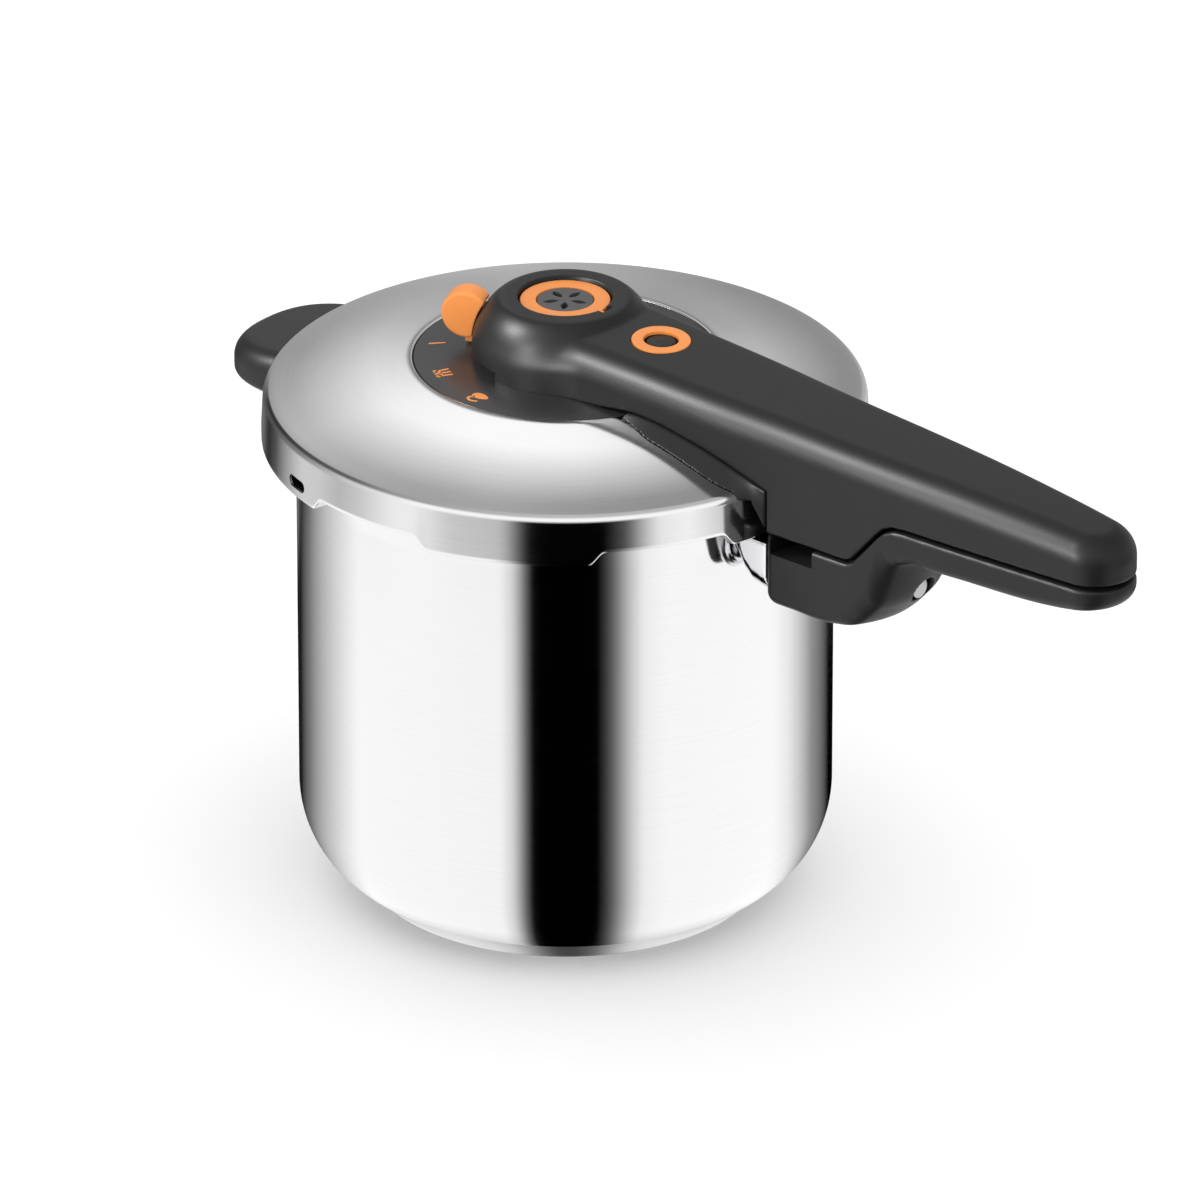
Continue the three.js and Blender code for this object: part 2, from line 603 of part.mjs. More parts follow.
// Wedge-shaped seat between the shell and the dome, which ends beside the skirt.
function lidHandleBase() {
  const stations = [
    { x: 48, top: 238.6, topHalf: 29.6, lowHalf: 38.5, low: 233 },
    { x: 60, top: 237.6, topHalf: 29, lowHalf: 37.5, low: 231 },
    { x: 97, top: 233.1, topHalf: 28, lowHalf: 34.5, low: 222 },
    { x: 124, top: 225, topHalf: 26.6, lowHalf: 33, low: 212 },
    { x: 129.9, top: 223.1, topHalf: 26.2, lowHalf: 27.5, low: 205 },
  ];
  const rings = stations.map(({ x, top, topHalf, lowHalf, low }) => [
    new THREE.Vector3(x, -topHalf, top), new THREE.Vector3(x, -lowHalf, low),
    new THREE.Vector3(x, -lowHalf, 195), new THREE.Vector3(x, lowHalf, 195),
    new THREE.Vector3(x, lowHalf, low), new THREE.Vector3(x, topHalf, top),
  ]);
  const lidSpace = revolve([[0, 150], [SKIRT_RADIUS + GAP, 150], ...lidCurve(GAP).reverse(), [0, PLATE_TOP]]);
  return skin(rings)
    .subtract(lidSpace)
    .subtract(rod(DOME_EDGE_RADIUS + 2.2, 190, 250, 0, 0, ROUND))
    .subtract(box(120, 135, -40, 40, 190, MEETING[0][1]))
    .subtract(rod(9.4, 220, 240, SAFETY_X))
    .subtract(rod(2.8, 220, 240, HANDLE_BOLT_X, HANDLE_BOLT_Y))
    .subtract(rod(2.8, 220, 240, HANDLE_BOLT_X, -HANDLE_BOLT_Y));
}

function handleBolt(y) {
  return revolveAt([
    [0, 220.8], [3.6, 220.8], [5, 222], [5, 223.8], [2.4, 223.8], [2.4, 239], [0, 239],
  ], HANDLE_BOLT_X, y, 16);
}

function potHandle() {
  const body = roundedHandle(
    POT_HANDLE_X, POT_OUTLINE_X, POT_HALF_WIDTH, POT_HANDLE_BOTTOM, 235, POT_EDGE_ROUND, 0, -1,
  );
  return body
    .subtract(besideMeeting(-MEETING_GAP, 300))
    .subtract(box(NOTCH.x0, NOTCH.x1, NOTCH.y0, NOTCH.y1, NOTCH.z, 220))
    .subtract(crossRod(BOLT_HEAD_RADIUS + 1.1, BOLT_HEAD_X, 215, 0, BOLT_Z))
    .subtract(crossRod(BOLT_RADIUS + 0.4, 120, BOLT_HEAD_X + 1, 0, BOLT_Z));
}

// Steel sleeve welded to the pot, open towards the handle.
function handleFerrule() {
  const innerHalf = FERRULE_HALF_WIDTH - FERRULE_SHEET;
  return crossPrism(FERRULE_OUTER, -FERRULE_HALF_WIDTH, FERRULE_HALF_WIDTH)
    .subtract(crossPrism(FERRULE_INNER, -innerHalf, innerHalf))
    .subtract(rod(POT_RADIUS + GAP, 150, 220, 0, 0, ROUND));
}

function ferruleNut() {
  return crossRod(5.4, 119.4, 127, 0, BOLT_Z).subtract(crossRod(BOLT_RADIUS + 0.5, 110, 130, 0, BOLT_Z));
}

function handleBoltLong() {
  const head = crossRod(BOLT_HEAD_RADIUS, BOLT_HEAD_X + GAP, BOLT_HEAD_X + 3.5, 0, BOLT_Z);
  return crossRod(BOLT_RADIUS, 119.6, BOLT_HEAD_X + 2, 0, BOLT_Z).add(head);
}

// Steel strap welded to the pot, with a tongue that the helper handle is screwed to.
function helperBracket() {
  const inner = POT_RADIUS + GAP;
  const strap = sector(inner, inner + STRAP_THICKNESS, 166, 194, STRAP_LOW, HELPER_SHELF);
  const rootX = -inner - STRAP_THICKNESS / 2;
  const tongue = box(TONGUE_END_X, rootX, -TONGUE_HALF_WIDTH, TONGUE_HALF_WIDTH, TONGUE_Z - 1, TONGUE_Z + 1);
  return strap
    .add(tongue)
    .subtract(rod(2, 190, HELPER_SHELF, HELPER_SCREW_X, -HELPER_SCREW_Y))
    .subtract(rod(2, 190, HELPER_SHELF, HELPER_SCREW_X, HELPER_SCREW_Y));
}

// Half of the helper handle's plan, from its root to the middle of its outer end, moved inwards by inset.
function helperPlan(inset) {
  const steps = 9;
  const bend = (value) => Math.sign(value) * Math.abs(value) ** (2 / HELPER_POWER);
  const points = [[-POT_RADIUS, inset - HELPER_SEMI.y]];
  for (let i = 0; i < steps; i += 1) {
    const angle = i / (steps - 0.5) * Math.PI / 2;
    points.push([
      HELPER_CENTRE_X - (HELPER_SEMI.x - inset) * bend(Math.sin(angle)),
      (inset - HELPER_SEMI.y) * bend(Math.cos(angle)),
    ]);
  }
  return points;
}

function helperHandle() {
  const steps = 4;
  const quarter = Array.from({ length: steps + 1 }, (_, i) => i / steps * Math.PI / 2);
  const under = quarter.map((angle) => ({
    inset: HELPER_BOTTOM_ROUND * (1 - Math.sin(angle)),
    z: () => HELPER_BOTTOM + HELPER_BOTTOM_ROUND * (1 - Math.cos(angle)),
  }));
  const over = quarter.map((angle) => ({
    inset: HELPER_TOP_ROUND * (1 - Math.cos(angle)),
    z: (x) => HELPER_TOP + HELPER_SLOPE * (x - HELPER_CENTRE_X) - HELPER_TOP_ROUND * (1 - Math.sin(angle)),
  }));
  const rings = [...under, ...over].map(({ inset, z }) => {
    const half = helperPlan(inset);
    const loop = [...half, ...half.slice().reverse().map(([x, y]) => [x, -y])];
    return loop.reverse().map(([x, y]) => new THREE.Vector3(x, y, z(x)));
  });
  const bracketSpace = POT_RADIUS + GAP + STRAP_THICKNESS + GAP;
  const tongueHalf = TONGUE_HALF_WIDTH + 1;
  return skin(rings)
    .subtract(rod(SKIRT_RADIUS + HELPER_CLEARANCE, HELPER_SHELF, 220, 0, 0, ROUND))
    .subtract(rod(bracketSpace, 150, 220, 0, 0, ROUND))
    .subtract(box(TONGUE_END_X - 1, -100, -tongueHalf, tongueHalf, TONGUE_Z - 1.3, TONGUE_Z + 1.3))
    .subtract(helperScrewSpace(-HELPER_SCREW_Y))
    .subtract(helperScrewSpace(HELPER_SCREW_Y));
}

function helperScrewSpace(y) {
  return rod(2, HELPER_BOTTOM - 1, 201.5, HELPER_SCREW_X, y)
    .add(rod(3.8, HELPER_BOTTOM - 1, HELPER_BOTTOM + 1.8, HELPER_SCREW_X, y));
}

function helperScrew(y) {
  return revolveAt([
    [0, HELPER_BOTTOM - 0.6], [3.3, HELPER_BOTTOM - 0.2], [3.3, HELPER_BOTTOM + 1.5],
    [1.6, HELPER_BOTTOM + 1.5], [1.6, 201], [0, 201],
  ], HELPER_SCREW_X, y, 12);
}

// Working valve: a threaded body through the lid with a seat for the plunger.
function valveBody() {
  return revolve([
    [3.5, VALVE_FOOT], [VALVE_STEM_RADIUS, VALVE_FOOT], [VALVE_STEM_RADIUS, HOUSING_FOOT],
    [VALVE_BODY_RADIUS, HOUSING_FOOT], [VALVE_BODY_RADIUS, VALVE_HEAD], [7.6, VALVE_HEAD], [7.6, 240],
    [3.5, 238],
  ], 20);
}

function valvePlunger() {
  return revolve([
    [0, 232], [2.9, 232], [2.9, 238.2], [6.8, 240.6], [6.8, 243.4], [2.6, 243.4], [2.6, 250], [0, 250],
  ], 16);
}

function leaf(angle) {
  const outline = [[2.6, 0.2], [5, -1.5], [8, -1.2], [9.6, 0.6], [7.4, 1.3], [4.6, 1.2]];
  return prism(outline, 250, 270).rotate([0, 0, angle]);
}

function ventDisc() {
  let disc = revolve([
    [0, CAP_LOW], [VENT_RADIUS, CAP_LOW], [VENT_RADIUS, VENT_TOP - 0.3], [VENT_RADIUS - 0.3, VENT_TOP],
    [0, VENT_TOP],
  ], 28);
  for (let i = 0; i < 5; i += 1) disc = disc.subtract(leaf(i * 72 + 14));
  return disc;
}

function capRing() {
  const bore = VENT_RADIUS + GAP;
  const body = revolve([
    [bore, CAP_LOW], [CAP_RADIUS, CAP_LOW], [CAP_RADIUS, CAP_TOP - 0.4], [CAP_RADIUS - 0.4, CAP_TOP],
    [bore + GAP, CAP_TOP], [bore, CAP_TOP - 0.3],
  ], 32);
  return body.add(prism([[18.2, -1.4], [21.9, -1.1], [21.9, 0.4], [18.2, 1.6]], CAP_TOP - 2, CAP_TOP));
}

// Cam ring that turns with the lever. Its spiral groove moves the lock slider by LOCK_TRAVEL.
function selectorRing() {
  const half = 1.95;
  const spiral = (sideways) => {
    const points = [];
    for (let angle = 9; angle >= -SELECTOR_TRAVEL - 9; angle -= 7.5) {
      const radius = CAM_START_RADIUS - angle * LOCK_TRAVEL / SELECTOR_TRAVEL + sideways;
      points.push([radius * Math.cos(angle * DEGREE), radius * Math.sin(angle * DEGREE)]);
    }
    return points;
  };
  const groove = prism([...spiral(-half), ...spiral(half).reverse()], 239.1, 243);
  return ring(VALVE_BODY_RADIUS + 0.6, 33.2, 236.2, 241.5, 0, 0, 32).subtract(groove);
}

// Round paddle on a neck that passes under the housing's raised edge.
function selectorLever() {
  const paddle = new THREE.CylinderGeometry(LEVER_RADIUS, LEVER_RADIUS, LEVER_THICKNESS, 28);
  paddle.translate(LEVER_CENTRE_R, 0, LEVER_CENTRE_Z);
  return solidOf(paddle)
    .add(box(38.9, 46.5, -4.6, 4.6, 236.2, 246))
    .subtract(housingBody(0.6))
    .add(box(33.7, 43, -4.6, -1, 236.2, 238.9))
    .rotate([0, 0, LEVER_ANGLE]);
}

function lockSlider() {
  const nose = 141.4; // the wedge's lower edge is LOCK_TRAVEL behind its upper edge, at 45 degrees
  const rise = SLIDER_HIGH - SLIDER_LOW;
  const drop = 9;
  return crossPrism([
    [12.5, SLIDER_LOW], [120, SLIDER_LOW], [120, SLIDER_LOW - drop], [nose - drop, SLIDER_LOW - drop],
    [nose + rise, SLIDER_HIGH], [12.5, SLIDER_HIGH],
  ], -5, 5)
    .subtract(box(INDICATOR_X - 3.4 - LOCK_TRAVEL, INDICATOR_X + 3.4, -3.4, 3.4, 230, 250))
    .add(rod(1.5, 239.6, SLIDER_LOW + 1, CAM_START_RADIUS, 0, 12));
}

function lockPin() {
  const [x0, x1] = [PIN_X - 3.5, PIN_X + 3.5];
  return crossPrism([[x0, 228], [x1, 228], [x1, x1 + 101], [x0, x0 + 101]], -4, 4)
    .add(rod(LOCK_PIN_RADIUS, PIN_TIP_Z, 229, PIN_X));
}

function indicatorPin() {
  return revolveAt([
    [0, INDICATOR_FOOT], [5.2, INDICATOR_FOOT], [5.2, INDICATOR_FOOT + 2],
    [INDICATOR_STEM_RADIUS, INDICATOR_FOOT + 2], [INDICATOR_STEM_RADIUS, INDICATOR_TOP - 5.2],
    [6.3, INDICATOR_TOP - 4.4], [6.3, INDICATOR_TOP - 0.7], [5.8, INDICATOR_TOP - 0.2], [0, INDICATOR_TOP],
  ], INDICATOR_X, 0);
}

function indicatorBush() {
  const bore = INDICATOR_STEM_RADIUS + 0.4;
  return revolveAt([
    [bore, 231], [6.6, 231], [6.6, 232.4], [bore + 1, 232.4], [bore + 1, 235], [bore, 235],
  ], INDICATOR_X, 0);
}

function indicatorRing() {
  return onHandleTop(revolve([[7.3, -1.3], [12.2, -1.3], [12.2, -0.1], [11.8, 0.3], [7.3, 0.3]], 32));
}

function safetyBody() {
  return revolveAt([
    [2.7, SAFETY_FOOT], [5.1, SAFETY_FOOT], [5.1, SAFETY_FLANGE], [8.6, SAFETY_FLANGE],
    [8.6, SAFETY_HEAD], [7.3, SAFETY_HEAD], [7.3, 237], [2.7, 235.6],
  ], SAFETY_X, 0);
}

function safetyPlunger() {
  return revolveAt([
    [0, 229], [2.3, 229], [2.3, 235.8], [6.4, 237.4], [6.4, 238.2], [0, 238.2],
  ], SAFETY_X, 0, 16);
}

const cooker = new THREE.Group();
const pot = new THREE.Group();
const lid = new THREE.Group();
cooker.add(pot, lid);

addPart(pot, 'pot_shell', potShell(), steel);
addPart(pot, 'base_cap', baseCap(), satinSteel);
addPart(pot, 'base_core', baseCore(), aluminium);
addPart(pot, 'handle_ferrule', handleFerrule(), steel);
addPart(pot, 'ferrule_nut', ferruleNut(), satinSteel);
addPart(pot, 'pot_handle', potHandle(), charcoal);
addPart(pot, 'pot_handle_bolt', handleBoltLong(), satinSteel);
addPart(pot, 'helper_bracket', helperBracket(), satinSteel);
addPart(pot, 'helper_handle', helperHandle(), charcoal);
addPart(pot, 'helper_screw_1', helperScrew(-HELPER_SCREW_Y), satinSteel);
addPart(pot, 'helper_screw_2', helperScrew(HELPER_SCREW_Y), satinSteel);

addPart(lid, 'lid_shell', lidShell(), steel);
addPart(lid, 'gasket', gasket(), silicone);
addPart(lid, 'position_plate', positionPlate(), black);
addPart(lid, 'lid_handle_shell', lidHandleShell(), charcoal);
addPart(lid, 'lid_handle_cover', lidHandleCover(), charcoal);
addPart(lid, 'lid_handle_base', lidHandleBase(), charcoal);
COVER_SCREW_X.forEach((x, i) => addPart(lid, `cover_screw_${i + 1}`, coverScrew(x), satinSteel));
[-HANDLE_BOLT_Y, HANDLE_BOLT_Y].forEach((y, i) => {
  addPart(lid, `lid_handle_bolt_${i + 1}`, handleBolt(y), satinSteel);
  addPart(lid, `lid_handle_nut_${i + 1}`, hexagon(4.6, 234.4, 238.2, 2.8, HANDLE_BOLT_X, y), satinSteel);
});
addPart(lid, 'indicator_ring', indicatorRing(), orange);
addPart(lid, 'indicator_bush', indicatorBush(), silicone);
addPart(lid, 'valve_body', valveBody(), brass);
addPart(lid, 'valve_nut', hexagon(13, 226, 231, VALVE_STEM_RADIUS + GAP), brass);
addPart(lid, 'valve_seal', ring(VALVE_STEM_RADIUS + GAP, 14, 231.3, 232.4, 0, 0, 32), silicone);
addPart(lid, 'valve_spring', spring(4.8, 0.9, 243.7, 256.1, 5), satinSteel);
addPart(lid, 'safety_body', safetyBody(), brass);
addPart(lid, 'safety_nut', hexagon(9, 220.2, 224.2, 5.4, SAFETY_X), brass);
addPart(lid, 'safety_cap', ring(3, 8.4, 241.3, 242.3, SAFETY_X), brass);
addPart(lid, 'safety_spring', spring(4.4, 0.6, 238.5, 241, 2, SAFETY_X), satinSteel);
addPart(lid, 'lock_spring', spring(4.6, 0.8, 208, 227.7, 6, PIN_X), satinSteel);

addPart(lid, 'selector_ring', selectorRing(), grey);
addPart(lid, 'selector_lever', selectorLever(), orange);
addPart(lid, 'cap_ring', capRing(), orange);
addPart(lid, 'vent_disc', ventDisc(), grey);
addPart(lid, 'valve_plunger', valvePlunger(), brass);
addPart(lid, 'indicator_pin', indicatorPin(), charcoal);
addPart(lid, 'safety_plunger', safetyPlunger(), brass);
addPart(lid, 'lock_slider', lockSlider(), grey);
addPart(lid, 'lock_pin', lockPin(), satinSteel);

export default cooker;
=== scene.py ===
"""Looks of a stovetop pressure cooker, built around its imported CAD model.
Lengths are in millimetres until a mesh is made."""
import json
import math

import bmesh
import bpy
import numpy as np
import openvdb
from mathutils import Matrix, Vector

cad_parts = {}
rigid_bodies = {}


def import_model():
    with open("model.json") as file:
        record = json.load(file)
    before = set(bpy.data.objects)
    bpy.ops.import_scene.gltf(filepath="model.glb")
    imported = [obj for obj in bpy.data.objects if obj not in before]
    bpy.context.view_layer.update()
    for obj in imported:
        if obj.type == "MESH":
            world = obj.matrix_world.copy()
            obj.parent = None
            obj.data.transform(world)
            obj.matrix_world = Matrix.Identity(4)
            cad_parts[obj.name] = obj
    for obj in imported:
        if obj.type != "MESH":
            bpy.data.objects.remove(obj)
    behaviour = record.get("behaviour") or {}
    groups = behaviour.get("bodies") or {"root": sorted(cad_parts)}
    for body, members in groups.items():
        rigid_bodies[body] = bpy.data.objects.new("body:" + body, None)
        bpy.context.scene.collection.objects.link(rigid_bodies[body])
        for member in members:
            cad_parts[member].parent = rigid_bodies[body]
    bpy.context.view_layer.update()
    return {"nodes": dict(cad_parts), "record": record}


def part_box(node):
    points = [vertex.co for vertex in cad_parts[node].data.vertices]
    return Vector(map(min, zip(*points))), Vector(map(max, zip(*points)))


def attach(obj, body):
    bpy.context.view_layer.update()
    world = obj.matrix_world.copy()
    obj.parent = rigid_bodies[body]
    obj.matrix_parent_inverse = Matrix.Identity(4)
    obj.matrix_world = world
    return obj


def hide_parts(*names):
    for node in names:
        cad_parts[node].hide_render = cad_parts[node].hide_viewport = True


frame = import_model()

MM = 0.001
LARGE_ROUND = 240  # sides of the pot and other large round pieces
LID_SIDES = 720
SMALL_ROUND = 96
HOLE_SIDES = 32
BORE_SIDES = 64

CAMERA_AZIMUTH = 41.0  # degrees: 0 looks along +Y
CAMERA_ELEVATION = 26.0
CAMERA_DISTANCE = 6000.0
CAMERA_LENS = 434.1
CAMERA_TARGET = (0.0, 0.0, 110.0)
CAMERA_RIGHT = 14.3  # the object stands a little left of and below the middle of the picture
CAMERA_UP = 12.15


def span(node):
    """Lowest and highest corner of a CAD node, in millimetres."""
    low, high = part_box(node)
    return np.array(low) / MM, np.array(high) / MM


# Sizes taken from the frame
POT_LOW, POT_HIGH = span("pot_shell")
BASE_HIGH = span("base_cap")[1]
LID_LOW, LID_HIGH = span("lid_shell")
PLATE_LOW, PLATE_HIGH = span("position_plate")
SHELL_HIGH = span("lid_handle_shell")[1]
POT_HANDLE_LOW, POT_HANDLE_HIGH = span("pot_handle")
HELPER_LOW, HELPER_HIGH = span("helper_handle")
SEAT_LOW, SEAT_HIGH = span("lid_handle_base")
FERRULE_LOW, FERRULE_HIGH = span("handle_ferrule")
PIN_LOW, PIN_HIGH = span("indicator_pin")
CAP_LOW, CAP_HIGH = span("cap_ring")
DISC_LOW, DISC_HIGH = span("vent_disc")
LEVER_LOW, LEVER_HIGH = span("selector_lever")

# Pot
POT_RADIUS = 111.0
POT_SHEET = 1.2
POT_NECK_Z = 190.0  # below it the wall is plain
BOTTOM_ROUND = (32.0, 38.5)  # half-axes of the elliptical corner: across and up
BASE_HEIGHT = POT_LOW[2]
BASE_RADIUS = BASE_HIGH[0]
RIM_Z = POT_HIGH[2]
FLANGE_LOW, FLANGE_HIGH = 202.0, 204.0
FLANGE_RADIUS = 115.0
LUG_RADIUS = 121.4
LUG_COUNT = 6
LUG_SPAN = 25.0

# Lid
SKIRT_RADIUS = LID_HIGH[0]
LID_SHEET = 1.2
SKIRT_EDGE_Z = 204.8
LOBE_EDGE_Z = LID_LOW[2]
LOBE_HALF_SPAN = 17.0
LOBE_STEP_SPAN = 3.0
LIP_RADIUS = 115.5
LIP_THICKNESS = 1.5
FILLET_RADIUS = 4.4
FILLET_Z = 217.4
SKIRT_LEAN = 0.6  # how far the skirt leans in over its height
LEAN_ANGLE = 2.0  # at which the fillet and the rolled edge end, in degrees
EDGE_ROLL = 1.1
DOME_RADIUS = 215.0
DOME_EDGE_RADIUS = 63.0
DOME_EDGE_SLOPE = 5.5
LID_BORE = 8.3
PLATE_RADIUS = PLATE_HIGH[0]
PLATE_TOP = PLATE_HIGH[2]
SEAT_Z = PLATE_LOW[2] - 0.3
WINDOW_ANGLE = -110.2
WINDOW_WIDTH, WINDOW_HEIGHT, WINDOW_Z = 13.0, 5.0, 205.7
# Holes through the lid for the indicator, the safety valve and the two bolts: radius and place
LID_HOLES = ((4.2, 52, 0), (5.5, 84, 0), (2.8, 98, 12), (2.8, 98, -12))

# Housing and handles
HOUSING_FOOT = PLATE_TOP + 0.3
HOUSING_TOP = SHELL_HIGH[2]
HOUSING_CENTRE = (20.0, 238.0)
HOUSING_SEMI = (18.2, 26.2)
RECESS_RADIUS, RECESS_FLOOR, RECESS_BORE = 19.5, 257.4, 10.6
SLOT_START, SLOT_END, SLOT_TOP = -163.0, -97.0, 239.5
WALL = 3.0
EDGE_ROUND = 11.0
CROWN_RADIUS = 150.0  # of the handle's top, across it
WAIST_BLEND = 9.0  # concave fillet between housing and handle, in plan
TIP_X = SHELL_HIGH[0] - 17.0
SHELL_END_X = 130.2
HOUSING_TOP_ROUND, HOUSING_BLEND = 0.8, 1.6
SHELL_LOWER_ROUND = 0.9
CAVITY_CEILING_Z, CAVITY_END_Z = 254.4, 222.0  # under the valve's recess, and over the end wall
HALF_WIDTH = [(0, 31), (60, 29), (97, 28), (130, 26), (180, 24), (244, 20), (281, 17)]
SHELL_TOP = [(0, 260), (52, 258.4), (150, 254.2), (237, 250.2), (281, 246.8), (298, 244.8)]
SEAM = [(-60, HOUSING_FOOT), (42, HOUSING_FOOT), (60, 238), (97, 233.5), (SHELL_END_X, 223.5)]
MEETING = [(100, 205), (172.5, 205), (175.5, 206.4), (187.5, 220.6), (191, 224.2), (195.5, 226.3),
           (201, 226.8), (315, 226.8)]
MEETING_GAP = 1.9
MEETING_ROUND = 1.5
POT_HALF_WIDTH = [(0, 25), (150, 25), (180, 24), (244, 20), (281, 17)]
POT_HANDLE_BOTTOM = [(100, 172.4), (150, 172), (170, 172.3), (180, 175.4), (187.5, 182.5),
                     (193.5, 191), (196.5, 199.5), (199, 206), (204, 209.6), (222, 210.6), (281, 213),
                     (298, 216)]
BELLY_ROUND = 30.0  # radius in plan of the deep part's outer end
POT_EDGE_ROUND = 6.0
NOTCH = ((132, 154), (-40, 4), (196, 220))  # open on one side, for the lock pin
BOLT_Z, BOLT_RADIUS = 190.0, 2.8
BOLT_HEAD_X, BOLT_POCKET_END_X, BOLT_SPACE = 187.0, 215.0, 5.5

# Seat between the upper handle and the dome: (x, value) stations of its half width at the seam and at the
# dome, and of its depth
SEAT_TOP_HALF = [(48, 29.6), (60, 29), (97, 28), (124, 26.4), (129.9, 26)]
SEAT_FOOT_HALF = [(48, 32), (60, 33.6), (73, 36.6), (88, 38), (106, 36.8), (113, 35.6), (119, 33),
                  (124, 29.2), (129.9, 26.1)]
SEAT_DEPTH = [(48, 3.2), (60, 3.8), (83, 5.2), (93, 6.0), (118.6, 6.8), (129.9, 8)]
SEAT_FLANK = 0.62  # about the cosine of the flank's lean
SEAT_ROUND, SEAT_GAP = 0.4, 0.15
SEAT_TONGUE = (206.0, 2.2, 218.5)  # lowest end beside the skirt, its rise per millimetre, highest end

# Ferrule: (x, z) stations of the lower side of its sleeve, of its neck at the pot and of its hollow
SLEEVE_LOW = [(112, 190), (113.4, 183), (115.5, 178.4), (119, 175.4), (124, 174.2), (130, 174.0)]
NECK_LOW = [(104, 194), (108, 188), (112, 182), (117, 178)]
HOLLOW_LOW = [(114, 192), (116, 181), (120, 177.4), (124, 176.0), (132, 175.8)]
SLEEVE_HALF, NECK_HALF, HOLLOW_HALF = 22.6, 21.4, 20.8
SLEEVE_START_X, HOLLOW_START_X = 112.6, 114.8
FERRULE_TOP_Z, HOLLOW_TOP_Z, FERRULE_END_X = 197.8, 196.0, 127.7

# Indicator, lever and printed marks
INDICATOR_X = (PIN_LOW[0] + PIN_HIGH[0]) / 2
INDICATOR_RING_RADIUS = 12.2
INDICATOR_BORE = 6.8
LEVER_ANGLE = -154.0
LEVER_RADIUS, LEVER_THICKNESS = 10.3, 10.0
LEVER_CENTRE_R, LEVER_CENTRE_Z = 41.4, 250.8
LEVER_HOUSING_GAP = 0.7
# Lever's foot and the neck under it: centre and half size outwards, across and up
LEVER_FOOT = ((39.4, 2.8), (-3.2, 1.4), (241.1, 4.9))
LEVER_NECK = ((38.35, 4.6), (-2.8, 1.8), (237.6, 1.3))
MARK_RADIUS = 54.0  # of the ring of marks on the plate

# Helper handle: its outer end is a superellipse in plan, and its top slopes down outwards
HELPER_CENTRE_X = -133.0
HELPER_SEMI = (36.8, 34.9)
HELPER_POWER = 2.4
HELPER_TOP, HELPER_SLOPE = 207.2, 0.12  # top above the centre, and its fall per millimetre
HELPER_CROWN = 450.0  # radius of the top, across it
HELPER_TOP_ROUND, HELPER_BOTTOM_ROUND = 8.0, 3.2
HELPER_SHELF = 198.0
HELPER_CLEARANCE = 1.4
HELPER_STRAP_SPACE = 2.4
HELPER_SLOT_HALF, HELPER_SLOT_Z, HELPER_SLOT_HALF_HEIGHT, HELPER_SLOT_END_X = 14.0, 194.0, 1.3, -141.0


# ---------------------------------------------------------------- meshes

def finish_object(name, mesh, material, body, nodes=(), sharp=35.0):
    """Links a mesh, smooths it up to an angle, gives it its material and makes it ride on its body."""
    work = bmesh.new()
    work.from_mesh(mesh)
    for face in work.faces:
        face.smooth = True
    for edge in work.edges:
        edge.smooth = len(edge.link_faces) == 2 and edge.calc_face_angle(0.0) < math.radians(sharp)
    work.to_mesh(mesh)
    work.free()
    mesh.materials.clear()
    mesh.materials.append(material)
    piece = bpy.data.objects.new(name, mesh)
    bpy.context.scene.collection.objects.link(piece)
    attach(piece, body)
    if nodes:
        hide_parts(*nodes)
    return piece


def mesh_of(points, faces):
    """Closed mesh from points in millimetres, with its faces turned outwards."""
    mesh = bpy.data.meshes.new("part")
    mesh.from_pydata((np.asarray(points, float) * MM).tolist(), [], [list(map(int, f)) for f in faces])
    work = bmesh.new()
    work.from_mesh(mesh)
    bmesh.ops.remove_doubles(work, verts=work.verts, dist=1e-7)
    bmesh.ops.recalc_face_normals(work, faces=work.faces)
    if work.calc_volume(signed=True) < 0:
        bmesh.ops.reverse_faces(work, faces=work.faces)
    work.to_mesh(mesh)
    work.free()
    return mesh


def rounded(outline, closed=True):
    """Outline points (a, b) or (a, b, radius), with each corner that has a radius turned into an arc."""
    out = []
    count = len(outline)
    for i, corner in enumerate(outline):
        point = np.array(corner[:2], float)
        radius = corner[2] if len(corner) > 2 else 0.0
        if not radius or (not closed and i in (0, count - 1)):  # a sharp corner, or an end
            out.append(tuple(point))
            continue
        before = np.array(outline[i - 1][:2], float) - point
        after = np.array(outline[(i + 1) % count][:2], float) - point
        u, v = before / np.linalg.norm(before), after / np.linalg.norm(after)
        half = math.acos(max(-1.0, min(1.0, float(u @ v)))) / 2
        reach = min(radius / math.tan(half), 0.49 * np.linalg.norm(before),
                    0.49 * np.linalg.norm(after))
        radius = reach * math.tan(half)
        centre = point + (u + v) / np.linalg.norm(u + v) * radius / math.sin(half)
        first, last = point + u * reach - centre, point + v * reach - centre
        turn = math.atan2(first[0] * last[1] - first[1] * last[0], float(first @ last))
        steps = max(2, int(abs(math.degrees(turn)) / 18))
        for k in range(steps + 1):
            a = turn * k / steps
            c, s = math.cos(a), math.sin(a)
            out.append((centre[0] + c * first[0] - s * first[1],
                        centre[1] + s * first[0] + c * first[1]))
    return out


def arc(cx, cy, radius, start, end, steps):
    """Points of an arc, in degrees, both ends included."""
    angles = np.radians(np.linspace(start, end, steps + 1))
    return [(cx + radius * math.cos(a), cy + radius * math.sin(a)) for a in angles]


